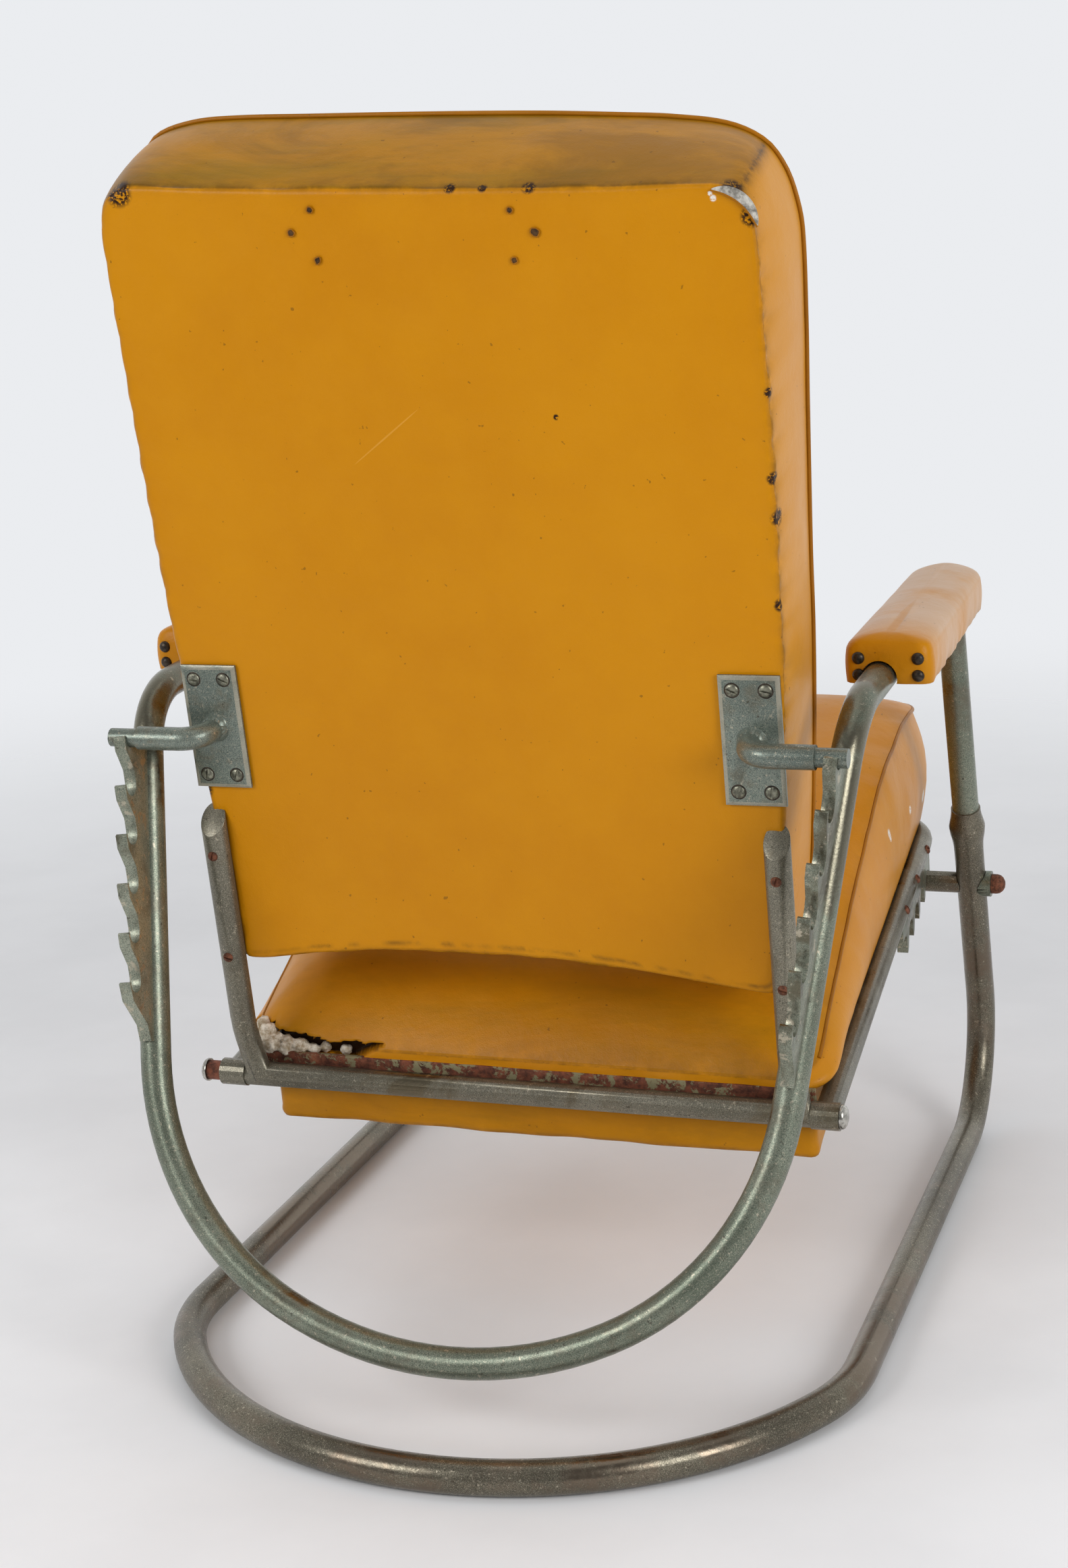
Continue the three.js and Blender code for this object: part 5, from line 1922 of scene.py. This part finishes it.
    def pad(self) -> tuple[Piece, np.ndarray]:
        """Make the seat as one closed surface.

        Returns:
            The piece and the line of its seam.
        """
        foot = self.outline(self.foot_reach, self.foot_inset)
        welt = self.outline(self.reach, self.welt_inset)
        loft = Loft(self.places.seat)
        middle = foot.mean(0)
        for share in self.foot_steps:
            flat = middle + (foot - middle) * share
            loft.add(np.column_stack([flat, np.full(self.points, self.foot_level)]))
        flat = np.column_stack([welt, welt[:, 0] * 0])
        sway = np.clip((welt[:, 1] - 60) / 60, 0, 1)
        sway = sway * (ripple(flat, 70, 21.7) * 5 + ripple(flat, 28, 14.2) * 1.6)
        level = self.welt_level(welt[:, 1]) + sway
        self.add_wall(loft, foot, welt, level)
        self.add_top(loft, welt, level)
        return loft.build("seat_upholstery"), np.column_stack([welt + outward(welt), level])

    def box_outline(self, left: float, right: float, ahead: float, corner: float) -> np.ndarray:
        """The plan outline of the box under the seat.

        Args:
            left: Half its width at the rear, on the sitter's left.
            right: The same on the right.
            ahead: Half its width in front.
            corner: Radius of its rear corners.

        Returns:
            Evenly spaced points.
        """
        corners = [
            (0, self.rear, 1),
            (left, self.rear, corner),
            (ahead, self.box_front, 40),
            (-ahead, self.box_front, 40),
            (-right, self.rear, corner),
        ]
        return resample(thinned(rounded(corners, 5)), self.points)

    def box_cover(self) -> Piece:
        """Make the covered box, whose rear hangs below the cross tube.

        Returns:
            The piece.
        """
        loft = Loft(self.places.seat)
        upper = self.box_outline(*self.box_upper)
        lower = self.box_outline(*self.box_lower)
        for share, drop in self.box_steps:
            line = upper + (lower - upper) * min(1.0, max(0.0, (drop - 0.3) / 0.2))
            low_edge = drop > 0.93 and share > 0.98
            dirt = 0.35 if low_edge else 0.05 * (drop > 0.3)
            loft.add(self.box_ring(line, share, drop), seam=dirt, grime=0.4)
        return loft.build("seat_box_cover")

    def box_ring(self, line: np.ndarray, share: float, drop: float) -> np.ndarray:
        """One ring of the box's cover.

        Args:
            line: Its outline.
            share: Its size about the middle.
            drop: Share of the depth below the top.

        Returns:
            Points across, forward and up.
        """
        middle = line.mean(0)
        flat = middle + (line - middle) * share
        along = (flat[:, 1] - self.rear) / (self.box_front - self.rear)
        depth = self.box_rear_depth + (self.box_front_depth - self.box_rear_depth) * along
        up = self.box_top - depth * drop
        ring = np.column_stack([flat, up])
        hang = max(0.0, drop - 0.35)
        wave = ripple(ring * [1, 1, 0.3], 38, 9.4) * 1.6 * hang * 2
        wave += ripple(ring * [1, 1, 0.6], 90, 2.9) * 2.0 * hang
        ring[:, :2] += outward(line) * wave[:, None]
        ring[:, 2] += ripple(ring, 60, 12.1) * 1.6 * max(0.0, drop - 0.6)
        behind = (np.abs(ring[:, 0]) < self.bar_across) & (up > self.bar_foot)
        ring[:, 1] = np.where(behind, np.maximum(ring[:, 1], self.bar_reach), ring[:, 1])
        return ring

    def stuffing(self) -> Piece:
        """Make the cotton that shows where the seat's rear edge has torn.

        Returns:
            The piece.
        """
        lumps = []
        for x, u, v, radius in self.lumps:
            bpy.ops.object.select_all(action="DESELECT")
            bpy.ops.mesh.primitive_ico_sphere_add(
                subdivisions=4, radius=radius * MM, location=self.places.seat(x, u, v)
            )
            lumps.append(settle(bpy.context.object))
        piece = joined("torn_stuffing", lumps)
        add_modifier(piece, "REMESH", mode="VOXEL", voxel_size=1.6 * MM)
        settle(piece)
        mesh = piece.data
        for v in mesh.vertices:
            fluff = noise.noise(v.co * 95) * 2.6 + noise.noise(v.co * 240) * 1.6
            fluff += noise.noise(v.co * 560) * 0.9
            v.co += v.normal * fluff * MM
        mesh.shade_smooth()
        return piece

    def build(self) -> None:
        """Make the seat's soft pieces."""
        f = self.finishes
        piece, seam = self.pad()
        dress(piece, f.vinyl_seat, Body.SEAT, "ochre_vinyl", ("seat_cushion",))
        ordered = np.roll(seam, -int(np.argmin(seam[:, 1])), 0)
        kept = ordered[ordered[:, 1] > self.rear + 22]
        line = [self.places.seat(*p) for p in kept[::2]]
        cord = cord_along("seat_welt", line, self.welt_radius * MM, closed=False)
        dress(cord, f.welt, Body.SEAT, "ochre_vinyl")
        dress(self.box_cover(), f.vinyl_seat, Body.SEAT, "ochre_vinyl", ("seat_box",))
        stuffing = dress(self.stuffing(), f.stuffing, Body.SEAT, "ochre_vinyl")


@dataclass
class ArmPads:
    """The stuffed covers on the arms, with their nails."""

    finishes: Finishes
    places: Places
    fasteners: Fasteners
    arm_rear: Point = (295.74, 23.93, 556.0)
    arm_front: Point = (293, -396.3, 572.0)
    start: float = 89.5
    length: float = 287
    half_rear: float = 33.5
    half_front: float = 30
    offset: float = 7
    low: float = -5
    tall: float = 30
    crown: float = 11
    foot_steps: Outline = ((0.05, -5), (0.5, -5), (0.9, -5), (0.97, -4.9))
    wall_levels: tuple[float, ...] = (-4.2, -2, 1, 4, 8, 12, 16, 20, 23)
    crown_steps: int = 12
    mouth_radius: float = 14.3
    mouth_sides: int = 32
    crease: float = 50
    nail_size: tuple[float, float] = (5.0, 3.4)
    nail_across: tuple[float, ...] = (-23, 24)
    nail_levels: tuple[float, ...] = (3, 16.5)

    def axes(self, side: Side) -> Callable[[float, float, float], Vector]:
        """The axes of one pad.

        Args:
            side: Which arm.

        Returns:
            A function of across (outward), forward and up, in metres.
        """
        rear, ahead = (
            Vector((x * side.value, self.places.hinge.y + y, z))
            for x, y, z in (self.arm_rear, self.arm_front)
        )
        along = (ahead - rear).normalized()
        up = Vector((side.value, 0, 0)).cross(along)
        if up.z < 0:
            up.negate()
        up.normalize()
        across = along.cross(up)
        if across.x * side.value < 0:
            across.negate()

        def place(x: float, y: float, z: float) -> Vector:
            """A point of the pad, in metres."""
            return (rear + across * x + along * (self.start + y) + up * z) * MM

        return place

    def cover(self, side: Side) -> Piece:
        """Make one cover.

        Args:
            side: Which arm.

        Returns:
            The piece.
        """
        m = self.offset
        corners = [
            (m - self.half_rear, 0, 9),
            (m + self.half_rear, 0, 9),
            (m + self.half_front, self.length, 24),
            (m - self.half_front, self.length, 24),
        ]
        line = resample(thinned(rounded(corners, 5)), 160)
        out = outward(line)
        loft = Loft(self.axes(side))
        middle = line.mean(0)
        seed = 2.0 + side.value
        for share, z in self.foot_steps:
            flat = middle + (line - middle) * share
            loft.add(np.column_stack([flat, np.full(len(line), float(z))]), seam=0.4)
        behind = np.clip(-out[:, 1], 0, 1)
        ears = np.exp(-((np.abs(line[:, 0] - m) - self.half_rear) ** 2) / 30) * behind
        for z in self.wall_levels:
            share = (z - self.low) / self.tall
            arch = math.sin(math.pi * share)
            ring = np.column_stack([line, np.full(len(line), float(z))])
            move = 1.6 * arch + 0.5
            move = move + ripple(ring * [1, 1, 0.6], 18, seed) * 1.5 * (1 - share)
            ring[:, :2] += out * move[:, None]
            pinch = np.exp(-((line[:, 0] / 12) ** 2)) * behind * (1 - share)
            ring[:, 1] += 3.5 * pinch
            ring[:, 1] -= 1.6 * ears * arch**0.4
            faded_and_lit = np.clip((ring[:, 1] - 8) / 70, 0, 1) * 0.75
            loft.add(ring, seam=0.3 * math.exp(-share * 9) + 0.6 * pinch, tone=faded_and_lit)
        for k in range(1, self.crown_steps):
            a = math.pi / 2 * k / self.crown_steps
            share = math.cos(a)
            inset = (1 - share) * self.half_rear * 0.45
            flat = line.copy()
            flat[:, 1] = inset + line[:, 1] * (1 - 2 * inset / self.length)
            flat[:, 0] = m + (line[:, 0] - m) * share
            ring = np.column_stack([flat, np.full(len(line), 24 + self.crown * math.sin(a))])
            ring[:, 2] += ripple(ring, 45, seed + 3) * 1.1
            loft.add(ring, tone=np.clip((ring[:, 1] - 6) / 55, 0, 1))
        return loft.build(f"arm_cover_{side.hand}")

    def mouth(self, side: Side) -> Piece:
        """Make the tool that opens a cover around its board and arm.

        Args:
            side: Which arm.

        Returns:
            A closed solid that is cut away.
        """
        place, count, radius = self.axes(side), self.mouth_sides, self.mouth_radius
        points = [
            place(radius * math.cos(a), y, radius * math.sin(a))
            for y in (-12.0, self.length + 12.0)
            for a in (2 * math.pi * i / count for i in range(count))
        ]
        faces = [(i, (i + 1) % count, count + (i + 1) % count, count + i) for i in range(count)]
        faces += [tuple(range(count)), tuple(range(count, 2 * count))]
        tube = new_object(f"mouth_{side.hand}", points, faces)
        with editing(tube):
            bpy.ops.mesh.normals_make_consistent(inside=False)
        return tube

    def build(self) -> None:
        """Make both pads and their nails."""
        f = self.finishes
        nail = self.fasteners.dome("arm_nail_pattern", *self.nail_size, False)
        for side in Side:
            hand, place = side.hand, self.axes(side)
            piece = self.cover(side)
            carve(piece, self.mouth(side))
            smoothed(piece, self.crease)
            dress(piece, f.vinyl_arm, Body.FRAME, "ochre_vinyl", (f"arm_pad_{hand}",))
            facing = (place(0, -1, 0) - place(0, 0, 0)).normalized()
            spots = [
                (place(self.offset + x, -1.3, z), facing, 0.0)
                for x in self.nail_across
                for z in self.nail_levels
            ]
            nails = self.fasteners.copies(f"arm_nails_{hand}", nail, spots)
            dress(nails, f.nail, Body.FRAME, "dark_steel")
        bpy.data.objects.remove(nail)


@dataclass
class BackMarks:
    """Torn screw holes and the torn corner on the back's rear."""

    finishes: Finishes
    places: Places
    face: float = 10.75
    hole_sides: int = 20
    rim_radius: float = 0.55
    lip_radius: float = 0.8
    holes: tuple[Point, ...] = (
        (85.1, 733.2, 2.4),
        (102.5, 717.2, 2.6),
        (83.9, 696.3, 2.6),
        (-70.0, 726.8, 2.2),
        (-87.4, 710.6, 3.6),
        (-69.9, 691.0, 2.4),
    )
    tear_centre: tuple[float, float] = (-222.0, 706.0)
    tear_radius: float = 29.0
    tear_width: float = 7.5
    tear_steps: int = 26

    def hole(self, x: float, z: float, radius: float) -> tuple[Piece, Piece]:
        """Make one hole: a dark disc and a torn rim.

        Args:
            x: Across.
            z: Up the back.
            radius: Of the hole.

        Returns:
            The disc and the rim.
        """
        count, back = self.hole_sides, self.places.back
        rim = []
        for i in range(count):
            a = 2 * math.pi * i / count
            c, s = math.cos(a), math.sin(a)
            wobble = radius * (1 + 0.35 * noise.noise(Vector((x, z, c * 2 + s))))
            rim.append(back(x + wobble * c, self.face + 0.55, z + wobble * s))
        faces = [(0, 1 + i, 1 + (i + 1) % count) for i in range(count)]
        disc = new_object("hole", [back(x, self.face + 0.5, z), *rim], faces)
        return disc, cord_along("rim", rim, self.rim_radius * MM)

    def tear(self) -> tuple[Piece, Piece]:
        """Make the crescent torn in the rear corner, with its lining.

        Returns:
            The lining and the torn lip.
        """
        lining, lip = [], []
        (cx, cz), r, count = self.tear_centre, self.tear_radius, self.tear_steps
        for i in range(count + 1):
            t = i / count
            a = math.radians(96 - 92 * t)
            c, s = math.cos(a), math.sin(a)
            width = self.tear_width * math.sin(math.pi * t) ** 0.7
            for k in range(5):
                q = (k / 4 - 0.5) * 2
                rr = r + q * width * 0.5
                deep = self.face + 0.9 - 1.6 * max(0, q) ** 2 * width / 7
                lining.append(self.places.back(cx - rr * c, deep, cz + rr * s))
            inner = r - width * 0.5
            lip.append(self.places.back(cx - inner * c, self.face + 0.9, cz + inner * s))
        faces = [
            (a, a + 1, a + 6, a + 5) for a in (i * 5 + k for i in range(count) for k in range(4))
        ]
        patch = new_object("corner_lining", lining, faces)
        add_modifier(patch, "SOLIDIFY", thickness=0.6 * MM, offset=0)
        edge = cord_along("corner_lip", lip, self.lip_radius * MM, closed=False)
        return settle(patch), edge

    def build(self) -> None:
        """Make every mark."""
        f = self.finishes
        pairs = [self.hole(*h) for h in self.holes]
        discs = joined("panel_hole_shade", [p[0] for p in pairs])
        rims = joined("panel_hole_rims", [p[1] for p in pairs])
        add_modifier(discs, "SOLIDIFY", thickness=0.4 * MM, offset=0)
        settle(discs)
        patch, edge = self.tear()
        for piece, finish in (
            (discs, f.shade),
            (rims, f.welt),
            (patch, f.lining),
            (edge, f.welt),
        ):
            dress(piece, finish, Body.BACK, "ochre_vinyl")


# Studio


@dataclass(frozen=True)
class Lamp:
    """One soft square light: its place, the side of its square, and its watts."""

    name: str
    at: Point
    size: float
    power: float


@dataclass
class Studio:
    """The floor, the light and the camera."""

    azimuth: float = math.radians(199.62)
    elevation: float = 0.247135
    roll: float = -0.0532228
    place: Point = (-0.69454, 2.023568, 0.98348)
    lens: float = 3787.77 / 2324 * 36
    sensor: float = 36
    clip: tuple[float, float] = (0.05, 60)
    sky: Color = (0.83, 0.845, 0.87)
    room: Color = (0.97, 0.985, 1.0)
    lit_from: Point = (-0.3, 0.86, 0.5)
    glow_range: tuple[float, float] = (-0.5, 0.75)
    far_glow: float = 1.0
    near_glow: float = 0.28
    floor_radius: float = 6.0
    floor_fade: tuple[float, float] = (1.0, 3.0)
    aim: Point = (0, 0, 0.45)
    lamps: tuple[Lamp, ...] = (
        Lamp("soft_top", (-0.3, 0.2, 3.0), 2.0, 8),
        Lamp("soft_right", (-2.6, 1.7, 1.5), 1.3, 44),
        Lamp("soft_left", (1.7, 2.6, 1.9), 1.3, 40),
    )

    def floor(self) -> None:
        """Lay a pale floor that fades into the backdrop."""
        bpy.ops.object.select_all(action="DESELECT")
        bpy.ops.mesh.primitive_circle_add(
            vertices=96, radius=self.floor_radius, fill_type="NGON"
        )
        floor = bpy.context.object
        floor.name = "studio_floor"
        g = Graph("pale_floor")
        away = g.node("ShaderNodeVectorMath", operation="LENGTH")
        g.feed(away.inputs[0], g.place)
        fade = g.band(away.outputs["Value"], *self.floor_fade)
        color = g.mix(g.band(g.noise(5, 5), 0.3, 0.7), linear("F0F0F2"), linear("F5F5F7"))
        color = g.lay(color, linear("A89F98"), g.band(g.noise(60, 8, 0.7), 0.74, 0.8), 0.3)
        g.finish(color, 0.65)
        clear = g.node("ShaderNodeBsdfTransparent")
        blend = g.node("ShaderNodeMixShader")
        for socket, value in zip(blend.inputs, (fade, g.shader.outputs[0], clear.outputs[0])):
            g.feed(socket, value)
        out = next(n for n in g.tree.nodes if n.type == "OUTPUT_MATERIAL")
        g.feed(out.inputs["Surface"], blend.outputs[0])
        floor.data.materials.append(g.material)

    def hang(self, lamp: Lamp) -> None:
        """Hang one soft light and aim it at the chair.

        Args:
            lamp: The light.
        """
        light = bpy.data.lights.new(lamp.name, "AREA")
        light.size = lamp.size
        light.energy = lamp.power
        made = bpy.data.objects.new(lamp.name, light)
        made.location = lamp.at
        toward = Vector(self.aim) - Vector(lamp.at)
        made.rotation_euler = toward.to_track_quat("-Z", "Y").to_euler()
        bpy.context.scene.collection.objects.link(made)

    def light_world(self, tree: bpy.types.NodeTree) -> None:
        """Make the backdrop pale, and the room dim on the camera's side.

        Args:
            tree: The world's nodes.
        """
        backdrop = next(n for n in tree.nodes if n.type == "BACKGROUND")
        out = next(n for n in tree.nodes if n.type == "OUTPUT_WORLD")
        backdrop.inputs["Color"].default_value = (*self.sky, 1)
        place = tree.nodes.new("ShaderNodeTexCoord").outputs["Generated"]
        toward = tree.nodes.new("ShaderNodeVectorMath")
        toward.operation = "DOT_PRODUCT"
        tree.links.new(place, toward.inputs[0])
        toward.inputs[1].default_value = self.lit_from
        level = tree.nodes.new("ShaderNodeMapRange")
        level.interpolation_type = "SMOOTHSTEP"
        tree.links.new(toward.outputs["Value"], level.inputs["Value"])
        keys = ("From Min", "From Max", "To Min", "To Max")
        for key, value in zip(keys, (*self.glow_range, self.far_glow, self.near_glow)):
            level.inputs[key].default_value = value
        room = tree.nodes.new("ShaderNodeBackground")
        room.inputs["Color"].default_value = (*self.room, 1)
        tree.links.new(level.outputs["Result"], room.inputs["Strength"])
        seen = tree.nodes.new("ShaderNodeLightPath").outputs["Is Camera Ray"]
        either = tree.nodes.new("ShaderNodeMixShader")
        for socket, value in zip(either.inputs, (seen, room.outputs[0], backdrop.outputs[0])):
            tree.links.new(value, socket)
        tree.links.new(either.outputs[0], out.inputs["Surface"])

    def camera(self) -> None:
        """Set the camera at the photograph's place."""
        a, e = self.azimuth, self.elevation
        back = Vector((math.sin(a) * math.cos(e), -math.cos(a) * math.cos(e), math.sin(e)))
        right = Vector((0, 0, 1)).cross(back).normalized()
        up = back.cross(right)
        c, s = math.cos(self.roll), math.sin(self.roll)
        x, y = right * c + up * s, up * c - right * s
        data = bpy.data.cameras.new("photo_camera")
        data.lens, data.sensor_width = self.lens, self.sensor
        data.clip_start, data.clip_end = self.clip
        camera = bpy.data.objects.new("photo_camera", data)
        turn = Matrix((x, y, back)).transposed().to_4x4()
        camera.matrix_world = Matrix.Translation(self.place) @ turn
        bpy.context.scene.collection.objects.link(camera)
        bpy.context.scene.camera = camera

    def build(self) -> None:
        """Set the stage."""
        scene = bpy.context.scene
        world = bpy.data.worlds.new("studio_light")
        world.use_nodes = True
        self.light_world(world.node_tree)
        scene.world = world
        scene.view_settings.view_transform = "Standard"
        self.floor()
        for lamp in self.lamps:
            self.hang(lamp)
        self.camera()


def main() -> None:
    """Build the chair in order and report each piece."""
    logging.basicConfig(level=logging.INFO, format="%(name)s: %(message)s")
    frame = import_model()
    places = Places(frame["record"])
    Studio().build()
    finishes = Finishes(places)
    Metalwork(finishes, places, frame["nodes"]).build()
    fasteners = Fasteners(finishes, places)
    fasteners.build()
    BackUpholstery(finishes, places).build()
    SeatUpholstery(finishes, places).build()
    ArmPads(finishes, places, fasteners).build()
    BackMarks(finishes, places).build()


if __name__ == "__main__":
    main()
